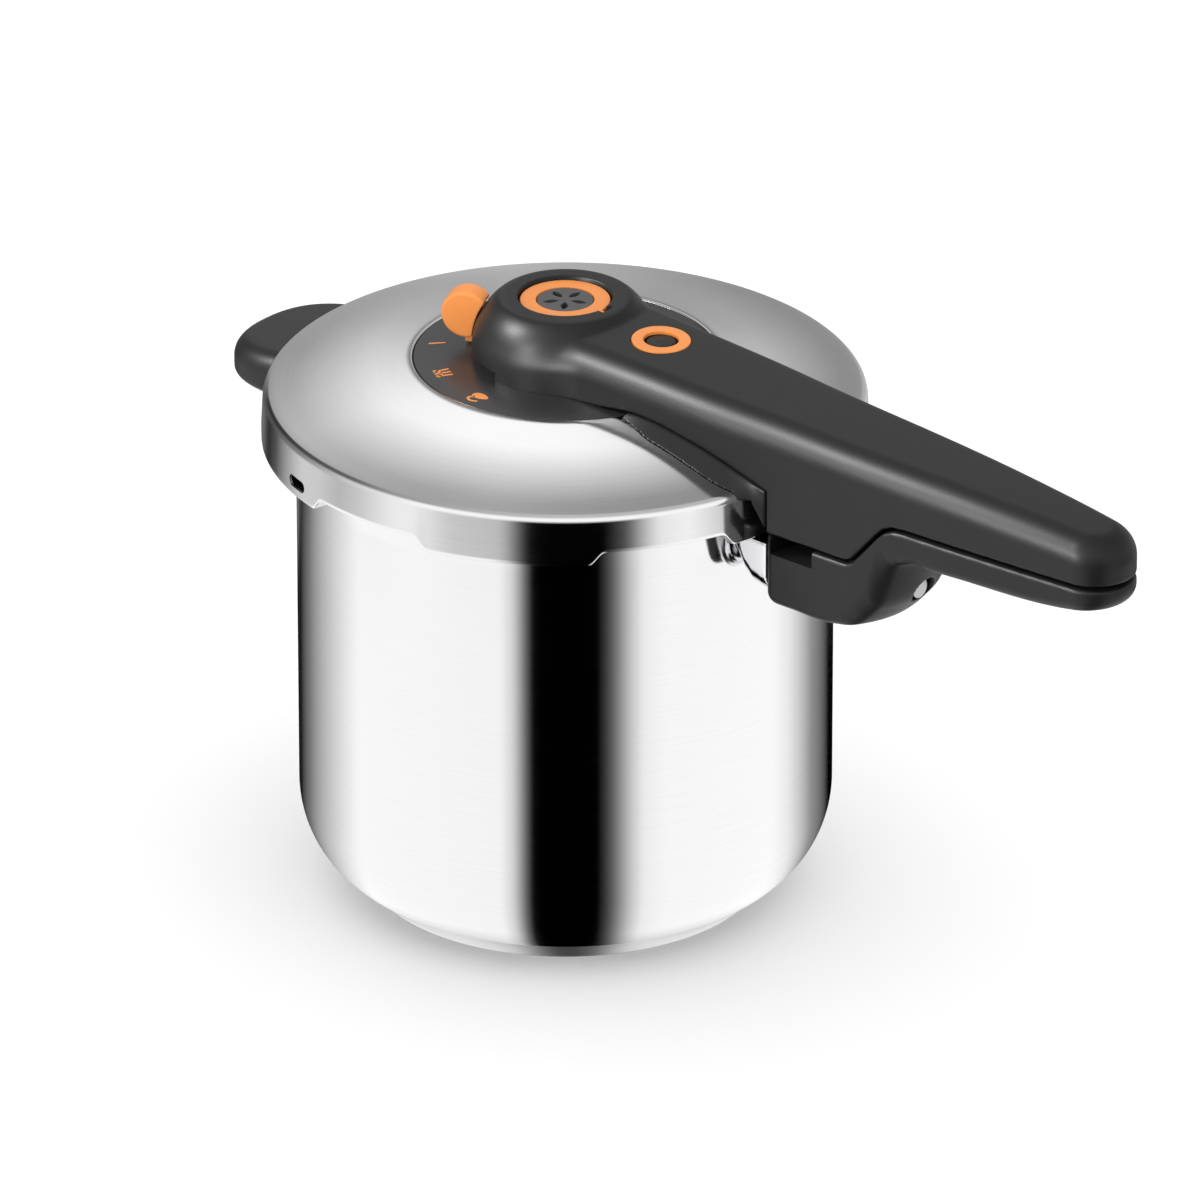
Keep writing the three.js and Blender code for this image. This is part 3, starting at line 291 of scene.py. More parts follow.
def revolved(outline, sides=SMALL_ROUND, centre=(0, 0)):
    """Mesh of revolution about Z of a closed (radius, z) outline."""
    ring = np.array(outline, float)
    angles = np.arange(sides) * 2 * math.pi / sides
    points = np.stack([
        centre[0] + ring[:, 0][None] * np.cos(angles)[:, None],
        centre[1] + ring[:, 0][None] * np.sin(angles)[:, None],
        np.broadcast_to(ring[:, 1], (sides, len(ring))),
    ], axis=-1).reshape(-1, 3)
    count = len(ring)
    faces = []
    for k in range(sides):
        for i in range(count):
            j = (i + 1) % count
            if ring[i][0] < 1e-6 and ring[j][0] < 1e-6:
                continue
            n = (k + 1) % sides
            quad = [k * count + i, n * count + i, n * count + j, k * count + j]
            if ring[i][0] < 1e-6:
                quad.pop(1)
            elif ring[j][0] < 1e-6:
                quad.pop(2)
            faces.append(quad)
    return mesh_of(points, faces)


def turned(sections):
    """Mesh round Z through equally spaced closed (radius, z) outlines with as many points each."""
    sides, count = len(sections), len(sections[0])
    points, faces = [], []
    for k, section in enumerate(sections):
        angle = 2 * math.pi * k / sides
        points += [(r * math.cos(angle), r * math.sin(angle), z) for r, z in section]
        n = (k + 1) % sides
        for i in range(count):
            j = (i + 1) % count
            faces.append([k * count + i, n * count + i, n * count + j, k * count + j])
    return mesh_of(points, faces)


def prism(outline, low, high):
    """Upright prism over an (x, y) outline."""
    count = len(outline)
    points = [(x, y, low) for x, y in outline] + [(x, y, high) for x, y in outline]
    faces = [list(range(count)), list(range(count, 2 * count))]
    faces += [[i, (i + 1) % count, count + (i + 1) % count, count + i] for i in range(count)]
    return mesh_of(points, faces)


def moved(mesh, matrix):
    mesh.transform(matrix)
    return mesh


def box_mesh(xs, ys, zs):
    return prism([(xs[0], ys[0]), (xs[1], ys[0]), (xs[1], ys[1]), (xs[0], ys[1])], *zs)


def combined(mesh, others, operation):
    """The mesh after exact booleans with the others, one at a time."""
    body = bpy.data.objects.new("work", mesh)
    bpy.context.scene.collection.objects.link(body)
    tools = []
    for other in others:
        tool = bpy.data.objects.new("tool", other)
        bpy.context.scene.collection.objects.link(tool)
        tools.append(tool)
        modifier = body.modifiers.new("cut", "BOOLEAN")
        modifier.operation = operation
        modifier.solver = "EXACT"
        modifier.object = tool
    evaluated = body.evaluated_get(bpy.context.evaluated_depsgraph_get())
    result = bpy.data.meshes.new_from_object(evaluated)
    for item in [body, *tools]:
        bpy.data.objects.remove(item)
    return result


def cut(mesh, *tools):
    return combined(mesh, tools, "DIFFERENCE")


def joined(mesh, *tools):
    return combined(mesh, tools, "UNION")


# ---------------------------------------------------------------- fields: signed distances, negative inside

DEEP = -50.0  # value of a limit where it doesn't apply


def eased(stations, x):
    """Smooth curve through (x, value) stations, flat beyond its ends."""
    xs = np.array([s[0] for s in stations], float)
    ys = np.array([s[1] for s in stations], float)
    slopes = np.gradient(ys, xs)
    x = np.clip(x, xs[0], xs[-1])
    i = np.clip(np.searchsorted(xs, x, side="right") - 1, 0, len(xs) - 2)
    width = xs[i + 1] - xs[i]
    t = (x - xs[i]) / width
    return ((2 * t**3 - 3 * t**2 + 1) * ys[i] + (t**3 - 2 * t**2 + t) * width * slopes[i]
            + (3 * t**2 - 2 * t**3) * ys[i + 1] + (t**3 - t**2) * width * slopes[i + 1])


def straight(stations, x):
    return np.interp(x, [s[0] for s in stations], [s[1] for s in stations])


def lean(stations, x, step=0.5):
    """Cosine of a profile's slope, which turns a height difference into a distance."""
    slope = (straight(stations, x + step) - straight(stations, x - step)) / (2 * step)
    return 1 / np.sqrt(1 + slope**2)


def slab(value, centre, half):
    return np.abs(value - centre) - half


def both(a, b, radius):
    """Intersection of two fields with a rounded edge."""
    u, v = np.maximum(a + radius, 0), np.maximum(b + radius, 0)
    return np.minimum(np.maximum(a + radius, b + radius), 0) + np.sqrt(u * u + v * v) - radius


def either(a, b, blend):
    """Union of two fields with a concave fillet."""
    h = np.clip(0.5 + 0.5 * (b - a) / blend, 0, 1)
    return b * (1 - h) + a * h - blend * h * (1 - h)


def solid_mesh(field, low, high, step):
    """Mesh of the zero surface of a field between two corners."""
    low = np.array(low, float) - 2.5 * step
    axes = [np.arange(low[i], high[i] + 2.5 * step, step) for i in range(3)]
    x, y, z = np.meshgrid(*axes, indexing="ij", sparse=True)
    values = np.clip(field(x, y, z) / step, -4, 4).astype(np.float32)
    grid = openvdb.FloatGrid(4.0)
    grid.copyFromArray(np.ascontiguousarray(values))
    points, quads = grid.convertToQuads(isovalue=0.0)
    return mesh_of(points * step + low, quads)


def plan_field(x, y, widths, tip_x):
    """Distance in plan to a handle's outline with a round tip."""
    tip_radius = eased(widths, np.array(tip_x))
    side = np.abs(y) - eased(widths, x)
    tip = np.hypot(x - tip_x, y) - tip_radius
    return np.where(x <= tip_x, side, tip)


def flank_field(x, y, z):
    """Distance outside the housing's convex flank."""
    rise = np.clip((z - HOUSING_CENTRE[1]) / HOUSING_SEMI[1], 0, 0.999)
    flank = HOUSING_CENTRE[0] + HOUSING_SEMI[0] * np.sqrt(1 - rise**2)
    slope = HOUSING_SEMI[0] / HOUSING_SEMI[1] * rise / np.sqrt(1 - rise**2)
    return (np.hypot(x, y) - flank) / np.sqrt(1 + slope**2)


def housing_field(x, y, z):
    return both(flank_field(x, y, z), z - HOUSING_TOP, HOUSING_TOP_ROUND)


def handle_top_field(x, y, z):
    return z - (eased(SHELL_TOP, x) - y**2 / (2 * CROWN_RADIUS))


def shell_body_field(x, y, z):
    """Housing and upper handle in one, open-ended below."""
    housing = housing_field(x, y, z)
    plan = np.maximum(plan_field(x, y, HALF_WIDTH, TIP_X), 8.0 - x)
    flank = either(plan, flank_field(x, y, z), WAIST_BLEND)
    handle = both(flank, handle_top_field(x, y, z), EDGE_ROUND)
    return either(housing, handle, HOUSING_BLEND)


def shell_floor_field(x, y, z):
    """Negative above the seam with the seat, and above the meeting surface of the two handles."""
    r = np.hypot(x, y)
    over_seat = np.maximum((eased(SEAM, x) - z) * lean(SEAM, x, 3.0), x - SHELL_END_X - 30)
    over_handle = np.maximum((straight(MEETING, r) - z) * lean(MEETING, r), SHELL_END_X - x)
    return np.minimum(over_seat, over_handle)


def shell_field(x, y, z):
    return both(shell_body_field(x, y, z), shell_floor_field(x, y, z), SHELL_LOWER_ROUND)


def shell_cavity_field(x, y, z):
    inside = shell_body_field(x, y, z) + WALL
    ceiling = np.where(np.hypot(x, y) < 30, z - CAVITY_CEILING_Z, DEEP)
    end_wall = np.minimum(SHELL_END_X + WALL - x, CAVITY_END_Z - z)
    end_wall = np.where(x < SHELL_END_X - 6, DEEP, end_wall)
    return np.maximum(np.maximum(inside, ceiling), end_wall)


def lid_field(x, y, z):
    """Distance outside the lid's outer surface."""
    r = np.hypot(x, y)
    dome = np.hypot(r - DOME_CENTRE[0], z - DOME_CENTRE[1]) - DOME_RADIUS
    fillet = np.hypot(r - FILLET_CENTRE[0], z - FILLET_CENTRE[1]) - FILLET_RADIUS
    skirt = r - SKIRT_RADIUS + SKIRT_LEAN * np.clip((z - LOBE_EDGE_Z) / (FILLET_Z - LOBE_EDGE_Z), 0, 1)
    beyond = (r - FILLET_CENTRE[0]) * JOIN_NORMAL[1] - (z - FILLET_CENTRE[1]) * JOIN_NORMAL[0]
    edge = np.where(z < FILLET_Z, skirt, np.where(beyond > 0, fillet, dome))
    return np.where(r < FILLET_CENTRE[0] - 4, dome, edge)


def pot_handle_field(x, y, z):
    """Lower handle: a deep belly with a round outer end, a thin tail, and a pocket for the bolt's head."""
    plan = plan_field(x, y, POT_HALF_WIDTH, TIP_X)
    along = x + y**2 / (2 * BELLY_ROUND)
    under = (eased(POT_HANDLE_BOTTOM, along) - z) * lean(POT_HANDLE_BOTTOM, along, 2.0)
    under = both(under, POT_HANDLE_LOW[0] - x, 6.0)
    body = both(plan, under, POT_EDGE_ROUND)
    r = np.hypot(x, y)
    body = both(body, (z - straight(MEETING, r) + MEETING_GAP) * lean(MEETING, r), MEETING_ROUND)
    pocket = np.maximum(np.hypot(y, z - BOLT_Z) - BOLT_SPACE, BOLT_HEAD_X - x)
    pocket = np.maximum(pocket, x - BOLT_POCKET_END_X)
    return both(body, -pocket, 0.8)


def helper_field(x, y, z):
    """Slab round the back of the lid, with a shelf that reaches under the skirt to the pot."""
    out = np.abs(np.minimum(x - HELPER_CENTRE_X, 0) / HELPER_SEMI[0])
    side = np.abs(y) / HELPER_SEMI[1]
    size = (out**HELPER_POWER + side**HELPER_POWER) ** (1 / HELPER_POWER)
    slope = np.hypot(out ** (HELPER_POWER - 1) / HELPER_SEMI[0],
                     side ** (HELPER_POWER - 1) / HELPER_SEMI[1])
    # First-order distance to the superellipse. It is poor near the middle line, where the slope goes to zero.
    plan = (size - 1) * size ** (HELPER_POWER - 1) / np.maximum(slope, 1e-3)
    top = z - (HELPER_TOP + HELPER_SLOPE * (x - HELPER_CENTRE_X) - y**2 / (2 * HELPER_CROWN))
    body = both(both(plan, top, HELPER_TOP_ROUND), HELPER_LOW[2] - z, HELPER_BOTTOM_ROUND)
    r = np.hypot(x, y)
    body = both(body, np.where(z > HELPER_SHELF, SKIRT_RADIUS + HELPER_CLEARANCE - r, DEEP), 1.0)
    body = np.maximum(body, POT_RADIUS + HELPER_STRAP_SPACE - r)
    slot = np.maximum(np.abs(y) - HELPER_SLOT_HALF, np.abs(z - HELPER_SLOT_Z) - HELPER_SLOT_HALF_HEIGHT)
    return np.maximum(body, -np.maximum(slot, HELPER_SLOT_END_X - x))


def seat_field(x, y, z):
    """Wedge between the handle shell and the dome, which ends beside the skirt."""
    top_half, foot_half = eased(SEAT_TOP_HALF, x), eased(SEAT_FOOT_HALF, x)
    top = eased(SEAM, x) - 0.4
    half = top_half + (foot_half - top_half) * np.clip((top - z) / eased(SEAT_DEPTH, x), 0, 1)
    body = both((np.abs(y) - half) * SEAT_FLANK, z - top, SEAT_ROUND)
    body = both(body, x - (SHELL_END_X - 0.3), SEAT_ROUND)
    body = np.maximum(body, SEAT_GAP - lid_field(x, y, z))
    r = np.hypot(x, y)
    body = np.maximum(body, (DOME_EDGE_RADIUS + 2.2) - r)
    lowest, rise, highest = SEAT_TONGUE
    tongue_low = np.minimum(lowest + rise * (SHELL_END_X - x), highest)
    return np.maximum(body, np.where(r > SKIRT_RADIUS - 1.5, (tongue_low - z) * 0.4, DEEP))


def lever_field(x, y, z):
    """Round paddle, its foot and the neck that goes under the housing, in the lever's own direction."""
    a = math.radians(LEVER_ANGLE)
    u = x * math.cos(a) + y * math.sin(a)
    v = y * math.cos(a) - x * math.sin(a)
    disc = np.hypot(u - LEVER_CENTRE_R, z - LEVER_CENTRE_Z) - LEVER_RADIUS
    paddle = both(disc, np.abs(v) - LEVER_THICKNESS / 2, 1.3)
    foot = np.maximum(slab(u, *LEVER_FOOT[0]), slab(z, *LEVER_FOOT[2]))
    foot = both(foot, slab(v, *LEVER_FOOT[1]), 0.4)
    body = either(paddle, foot, 2.0)
    away = LEVER_HOUSING_GAP - np.maximum(housing_field(x, y, z), HOUSING_FOOT - 0.6 - z)
    body = both(body, away, 0.5)
    neck = np.maximum(slab(u, *LEVER_NECK[0]), slab(v, *LEVER_NECK[1]))
    return np.minimum(body, np.maximum(neck, slab(z, *LEVER_NECK[2])))


# ---------------------------------------------------------------- lid curve

DOME_CENTRE = [DOME_EDGE_RADIUS - DOME_RADIUS * math.sin(math.radians(DOME_EDGE_SLOPE)), 0.0]
FILLET_CENTRE = (SKIRT_RADIUS - SKIRT_LEAN - FILLET_RADIUS, FILLET_Z)
DOME_CENTRE[1] = FILLET_Z - math.sqrt(
    (DOME_RADIUS - FILLET_RADIUS) ** 2 - (FILLET_CENTRE[0] - DOME_CENTRE[0]) ** 2)
JOIN_ANGLE = math.degrees(
    math.atan2(FILLET_CENTRE[1] - DOME_CENTRE[1], FILLET_CENTRE[0] - DOME_CENTRE[0]))
JOIN_NORMAL = (math.cos(math.radians(JOIN_ANGLE)), math.sin(math.radians(JOIN_ANGLE)))


def lid_curve(offset):
    """(radius, z) from the plate's seat over the dome and round the fillet to the skirt."""
    dome = arc(*DOME_CENTRE, DOME_RADIUS + offset, 90 - DOME_EDGE_SLOPE, JOIN_ANGLE, 16)
    fillet = arc(*FILLET_CENTRE, FILLET_RADIUS + offset, JOIN_ANGLE, LEAN_ANGLE, 14)
    return dome + fillet[1:]


def lobe_share(angle):
    """1 at a lobe of the skirt, 0 between lobes, with an S-shaped step."""
    pitch = 360 / LUG_COUNT
    away = abs((angle + pitch / 2) % pitch - pitch / 2)
    t = min(max((away - LOBE_HALF_SPAN) / LOBE_STEP_SPAN + 0.5, 0.0), 1.0)
    return 1 - t * t * (3 - 2 * t)


def lid_section(angle):
    """Outline of the lid at an angle, with a rolled edge and, at each lobe, an inward lip."""
    lobe = lobe_share(angle)
    edge = SKIRT_EDGE_Z + (LOBE_EDGE_Z - SKIRT_EDGE_Z) * lobe
    outer, inner = lid_curve(0), lid_curve(-LID_SHEET)
    wall = SKIRT_RADIUS - LID_SHEET
    lip = wall - 0.05 + (LIP_RADIUS - wall) * lobe
    roll = arc(SKIRT_RADIUS - EDGE_ROLL, edge + EDGE_ROLL, EDGE_ROLL, -90, LEAN_ANGLE, 6)
    roll.append((SKIRT_RADIUS - 0.04, edge + 2.2))
    seat = rounded([outer[1], (DOME_EDGE_RADIUS - 0.2, outer[0][1], 0.9), (PLATE_RADIUS + 0.3, SEAT_Z, 0.3),
                    (LID_BORE, SEAT_Z)], closed=False)
    return [(LID_BORE, SEAT_Z - LID_SHEET), (PLATE_RADIUS - 1.7, SEAT_Z - LID_SHEET), *inner[1:],
            (wall, edge + LIP_THICKNESS + 0.4), (wall - 0.02, edge + LIP_THICKNESS),
            (lip, edge + LIP_THICKNESS - 0.2), (lip, edge + 0.2), (lip + 0.03, edge),
            *roll, *reversed(outer[2:]), *seat]


def window_cutter():
    """Round-ended slot through the skirt."""
    end = WINDOW_HEIGHT / 2
    reach = WINDOW_WIDTH / 2 - end
    outline = arc(reach, 0, end, -90, 90, 12) + arc(-reach, 0, end, 90, 270, 12)
    tool = prism(outline, -4, 4)
    place = (Matrix.Rotation(math.radians(WINDOW_ANGLE + 90), 4, "Z")
             @ Matrix.Translation((0, -SKIRT_RADIUS * MM, WINDOW_Z * MM))
             @ Matrix.Rotation(math.radians(90), 4, "X"))
    return moved(tool, place)


def sector(inner, outer, start, end, low, high):
    """Upright ring sector between two angles."""
    steps = max(4, int((end - start) / 1.5))
    return prism(arc(0, 0, outer, start, end, steps) + arc(0, 0, inner, end, start, steps), low, high)


# ---------------------------------------------------------------- pieces

def bottom_corner(inset):
    """Elliptical corner between the pot's bottom and its wall, from the bottom up."""
    across, up = BOTTOM_ROUND[0] - inset, BOTTOM_ROUND[1] - inset
    return [(POT_RADIUS - BOTTOM_ROUND[0] + across * math.sin(a),
             BASE_HEIGHT + BOTTOM_ROUND[1] - up * math.cos(a)) for a in np.linspace(0, math.pi / 2, 33)]


def build_pot():
    inner = POT_RADIUS - POT_SHEET
    outline = [(0, BASE_HEIGHT), *bottom_corner(0.0),
               *rounded([(POT_RADIUS, POT_NECK_Z), (POT_RADIUS, FLANGE_LOW, 0.8),
                         (FLANGE_RADIUS, FLANGE_LOW, 0.4), (FLANGE_RADIUS, FLANGE_HIGH, 0.6),
                         (POT_RADIUS + 0.6, FLANGE_HIGH, 0.8), (POT_RADIUS + 0.6, RIM_Z, 0.9),
                         (inner, RIM_Z, 0.8), (inner, POT_NECK_Z)], closed=False),
               *reversed(bottom_corner(POT_SHEET)), (0, BASE_HEIGHT + POT_SHEET)]
    mesh = revolved(outline, LARGE_ROUND)
    pitch = 360 // LUG_COUNT
    lugs = [sector(POT_RADIUS + 0.3, LUG_RADIUS, i * pitch - LUG_SPAN / 2, i * pitch + LUG_SPAN / 2,
                   FLANGE_LOW, FLANGE_HIGH) for i in range(LUG_COUNT)]
    return joined(mesh, *lugs)


def build_base_cap():
    outline = rounded([(0, 0), (BASE_RADIUS, 0, 1.8), (BASE_RADIUS, BASE_HIGH[2], 0.3),
                       (BASE_RADIUS - 0.8, BASE_HIGH[2]), (BASE_RADIUS - 0.8, 0.8, 1.0), (0, 0.8)])
    return revolved(outline, LARGE_ROUND)


def build_lid():
    mesh = turned([lid_section(360 * k / LID_SIDES) for k in range(LID_SIDES)])
    holes = [revolved([(0, 220), (r, 220), (r, 245), (0, 245)], HOLE_SIDES, (x, y))
             for r, x, y in LID_HOLES]
    return cut(mesh, window_cutter(), *holes)


def build_plate():
    outline = rounded([(8.6, PLATE_LOW[2]), (PLATE_RADIUS, PLATE_LOW[2]), (PLATE_RADIUS, PLATE_TOP, 0.4),
                       (8.6, PLATE_TOP)])
    hole = revolved([(0, 230), (4.6, 230), (4.6, 240), (0, 240)], HOLE_SIDES, (INDICATOR_X, 0))
    return cut(revolved(outline, LARGE_ROUND), hole)


def on_handle_top(mesh):
    """Tilts and moves a mesh from the origin to the indicator's place on the handle's top."""
    slope = math.atan2(SHELL_TOP[1][1] - SHELL_TOP[2][1], SHELL_TOP[2][0] - SHELL_TOP[1][0])
    place = Matrix.Translation((INDICATOR_X * MM, 0, SHELL_TOP[1][1] * MM)) @ Matrix.Rotation(slope, 4, "Y")
    return moved(mesh, place)


def build_shell():
    """Hollow shell with the valve's recess and bore, the lever's slot and the indicator's pocket."""
    mesh = solid_mesh(shell_field, (-39, -39, 204), (SHELL_HIGH[0], 39, SHELL_HIGH[2]), step=0.8)
    cavity = solid_mesh(shell_cavity_field, (-36, -36, 201), (SHELL_HIGH[0], 36, HOUSING_TOP), step=1.8)
    recess = revolved(rounded([(0, RECESS_FLOOR), (RECESS_RADIUS, RECESS_FLOOR),
                               (RECESS_RADIUS, HOUSING_TOP - 0.4), (RECESS_RADIUS + 1.4, HOUSING_TOP + 1),
                               (0, HOUSING_TOP + 1)]))
    bore = revolved([(0, 252), (RECESS_BORE, 252), (RECESS_BORE, 258), (0, 258)], BORE_SIDES)
    finger = sector(RECESS_RADIUS - 1, 22.6, -6, 12, RECESS_FLOOR, HOUSING_TOP + 1)
    slot = sector(30, 41, SLOT_START, SLOT_END, HOUSING_FOOT - 2, SLOT_TOP)
    pocket = on_handle_top(revolved([(0, -1.6), (12.5, -1.6), (12.5, -0.2), (13.6, 2), (0, 2)]))
    through = revolved([(0, 240), (INDICATOR_BORE, 240), (INDICATOR_BORE, 262), (0, 262)], BORE_SIDES,
                       (INDICATOR_X, 0))
    sleeve = on_handle_top(revolved([(0, -7), (9.6, -7), (9.6, -2.2), (0, -2.2)], 48))
    hollow = cut(mesh, cavity)
    return cut(joined(hollow, sleeve), recess, bore, finger, slot, pocket, through)


def build_pot_handle():
    mesh = solid_mesh(pot_handle_field, POT_HANDLE_LOW, POT_HANDLE_HIGH, step=0.75)
    hole = revolved([(0, 100), (BOLT_RADIUS, 100), (BOLT_RADIUS, 190), (0, 190)], HOLE_SIDES)
    along_x = Matrix.Translation((0, 0, BOLT_Z * MM)) @ Matrix.Rotation(math.radians(90), 4, "Y")
    return cut(mesh, box_mesh(*NOTCH), moved(hole, along_x))


def ferrule_field(x, y, z):
    """Steel sleeve with a round lower side, and its narrower neck at the pot."""
    sleeve = both((straight(SLEEVE_LOW, x) - z) * 0.8, np.abs(y) - SLEEVE_HALF, 9.0)
    sleeve = both(sleeve, SLEEVE_START_X - x, 1.2)
    neck = both((straight(NECK_LOW, x) - z) * 0.65, np.abs(y) - NECK_HALF, 8.0)
    body = np.minimum(sleeve, np.maximum(neck, x - 120))
    body = both(body, np.maximum(z - FERRULE_TOP_Z, x - FERRULE_END_X), 0.6)
    return np.maximum(body, POT_RADIUS + 0.25 - np.hypot(x, y))


def ferrule_hollow_field(x, y, z):
    inside = both((straight(HOLLOW_LOW, x) - z) * 0.8, np.abs(y) - HOLLOW_HALF, 7.5)
    return np.maximum(np.maximum(inside, z - HOLLOW_TOP_Z), HOLLOW_START_X - x)


def build_ferrule():
    body = solid_mesh(ferrule_field, (FERRULE_LOW[0], -23, 172), (FERRULE_HIGH[0], 23, FERRULE_HIGH[2]),
                      step=0.5)
    hollow = solid_mesh(ferrule_hollow_field, (112, -23, 172), (130, 23, 199), step=0.7)
    return cut(body, hollow)


def build_cap_ring():
    low, high = CAP_LOW[2], CAP_HIGH[2]
    outline = rounded([(12, low), (18.6, low), (18.6, high, 0.5), (12, high, 0.4)])
    tab = prism(rounded([(18.0, -1.6), (21.9, -1.1, 0.4), (21.9, 0.4, 0.4), (18.0, 1.8)]), 259, high - 0.02)
    return joined(revolved(outline, LARGE_ROUND), tab)


def leaf(angle):
    """Curved leaf-shaped slot of the vent disc."""
    def side(bulge, shares):
        return [(2.4 + 7.2 * t, 0.3 + bulge * math.sin(math.pi * t) + 0.5 * t) for t in shares]

    outline = side(1.6, np.linspace(0, 1, 12)) + side(-1.5, np.linspace(1, 0, 12)[1:-1])
    return moved(prism(outline, 250, 270), Matrix.Rotation(math.radians(angle), 4, "Z"))


def build_vent_disc():
    low, high = DISC_LOW[2], DISC_HIGH[2]
    disc = revolved(rounded([(0, low), (11.7, low), (11.7, high, 0.4), (0, high)]))
    return cut(disc, *[leaf(i * 72 + 14) for i in range(5)])


def build_indicator_ring():
    outer = INDICATOR_RING_RADIUS
    outline = rounded([(7.3, -1.3), (outer, -1.3), (outer, 0.3, 0.5), (7.3, 0.3, 0.4)])
    return on_handle_top(revolved(outline))


def build_indicator_pin():
    base, top = PIN_LOW[2], PIN_HIGH[2]
    outline = rounded([(0, base), (5.2, base, 0.3), (5.2, base + 2, 0.3), (2.5, base + 2), (2.5, 252.8),
                       (6.3, 253.6), (6.3, top - 0.25, 0.9), (0, top)])
    return revolved(outline, BORE_SIDES, (INDICATOR_X, 0))


def stroke(points, width):
    """Outline of a stroke with round ends along points in plan."""
    path = np.array(points, float)
    run = np.gradient(path, axis=0)
    run /= np.linalg.norm(run, axis=1)[:, None]
    side = np.stack([-run[:, 1], run[:, 0]], axis=1) * width / 2
    left, right = path + side, path - side
    first = math.degrees(math.atan2(*side[0][::-1]))
    last = math.degrees(math.atan2(*(-side[-1])[::-1]))
    start_cap = arc(*path[0], width / 2, first, first + 180, 6)[1:-1]
    end_cap = arc(*path[-1], width / 2, last, last + 180, 6)[1:-1]
    return [tuple(p) for p in left[::-1]] + start_cap + [tuple(p) for p in right] + end_cap


def build_marks():
    """Printed marks on the plate: a dash, a pan with steam, and a drop over a ladle. Each stroke is a thin
    solid, drawn about the mark's own centre with +X away from the plate's."""
    tilt = math.radians(20)
    dash = stroke([(t * math.cos(tilt), t * math.sin(tilt)) for t in (-3.1, 0, 3.1)], 0.95)
    pan = stroke([(3.5 + 3.6 * math.cos(a), -3.4 * math.sin(a))
                  for a in np.radians(np.linspace(120, 240, 14))], 1.2)
    steam = [stroke([(2.2, y), (-0.6, y * 1.15), (-4.2, y * 1.3 - 0.3)], 0.95) for y in (-2.1, 0.0, 2.1)]
    drop = [(-1.4 + (2.3 + 0.5 * math.cos(a)) * math.sin(a), -3.9 * math.cos(a))
            for a in np.radians(np.arange(0, 360, 15))]
    ladle = stroke([(2.2 + 1.9 * math.sin(a), -0.6 - 2.6 * math.cos(a))
                    for a in np.radians(np.linspace(-60, 150, 12))], 1.1)
    marks = {"mark_dash": (-151.6, [dash]), "mark_steam": (-120.0, [pan, *steam]),
             "mark_food": (-90.0, [drop, ladle])}
    for name, (angle, outlines) in marks.items():
        parts = bmesh.new()
        for outline in outlines:
            parts.from_mesh(prism(outline, PLATE_TOP + 0.01, PLATE_TOP + 0.10))
        mesh = bpy.data.meshes.new(name)
        parts.to_mesh(mesh)
        parts.free()
        place = Matrix.Rotation(math.radians(angle), 4, "Z") @ Matrix.Translation((MARK_RADIUS * MM, 0, 0))
        finish_object(name, moved(mesh, place), ORANGE_PRINT, "lid", sharp=60)


# ---------------------------------------------------------------- materials

class Nodes:
    """Short way to add and link shader nodes in one material or world."""

    def __init__(self, tree):
        self.tree = tree
        tree.nodes.clear()

    def add(self, kind, **values):
        node = self.tree.nodes.new(kind)
        for key, value in values.items():
            if isinstance(value, bpy.types.NodeSocket):
                self.tree.links.new(value, node.inputs[key])
            elif key in node.inputs:
                node.inputs[key].default_value = value
            else:
                setattr(node, key, value)
        return node

    def math(self, operation, a, b=None, c=None, clamp=False):
        node = self.tree.nodes.new("ShaderNodeMath")
        node.operation = operation
        node.use_clamp = clamp
        for socket, value in zip(node.inputs, (a, b, c)):
            if isinstance(value, bpy.types.NodeSocket):
                self.tree.links.new(value, socket)
            elif value is not None:
                socket.default_value = value
        return node.outputs[0]

    def ramp(self, factor, stops, interpolation="LINEAR"):
        node = self.tree.nodes.new("ShaderNodeValToRGB")
        node.color_ramp.interpolation = interpolation
        elements = node.color_ramp.elements
        while len(elements) > 1:
            elements.remove(elements[-1])
        for i, (place, value) in enumerate(stops):
            element = elements[0] if i == 0 else elements.new(place)
            element.position = place
            element.color = (*value, 1) if isinstance(value, tuple) else (value, value, value, 1)
        self.tree.links.new(factor, node.inputs[0])
        return node.outputs[0]


def start_material(name):
    material = bpy.data.materials.new(name)
    material.use_nodes = True
    return material, Nodes(material.node_tree)


def close_material(nodes, normal=None, **sockets):
    shader = nodes.add("ShaderNodeBsdfPrincipled")
    for key, value in sockets.items():
        socket = shader.inputs[key.replace("_", " ")]
        if isinstance(value, bpy.types.NodeSocket):
            nodes.tree.links.new(value, socket)
        else:
            socket.default_value = value
    if normal is not None:
        nodes.tree.links.new(normal, shader.inputs["Normal"])
    out = nodes.add("ShaderNodeOutputMaterial")
    nodes.tree.links.new(shader.outputs[0], out.inputs["Surface"])


def length_of(nodes, x, y):
    return nodes.math("SQRT", nodes.math("ADD", nodes.math("MULTIPLY", x, x), nodes.math("MULTIPLY", y, y)))


def turned_noise(nodes, fineness, round_share):
    """Noise drawn out round the Z axis, as left by polishing or brushing on a lathe."""
    place = nodes.add("ShaderNodeTexCoord").outputs["Object"]
    split = nodes.add("ShaderNodeSeparateXYZ", Vector=place)
    x, y, z = split.outputs
    radius = length_of(nodes, x, y)
    angle = nodes.math("ARCTAN2", y, x)
    turn = nodes.math("MULTIPLY", nodes.math("ABSOLUTE", angle), round_share)
    vector = nodes.add("ShaderNodeCombineXYZ", X=nodes.math("MULTIPLY", radius, fineness), Y=turn,
                       Z=nodes.math("MULTIPLY", z, fineness)).outputs[0]
    noise = nodes.add("ShaderNodeTexNoise", Vector=vector, Scale=1.0, Detail=4.0, Roughness=0.6)
    return noise.outputs["Fac"]


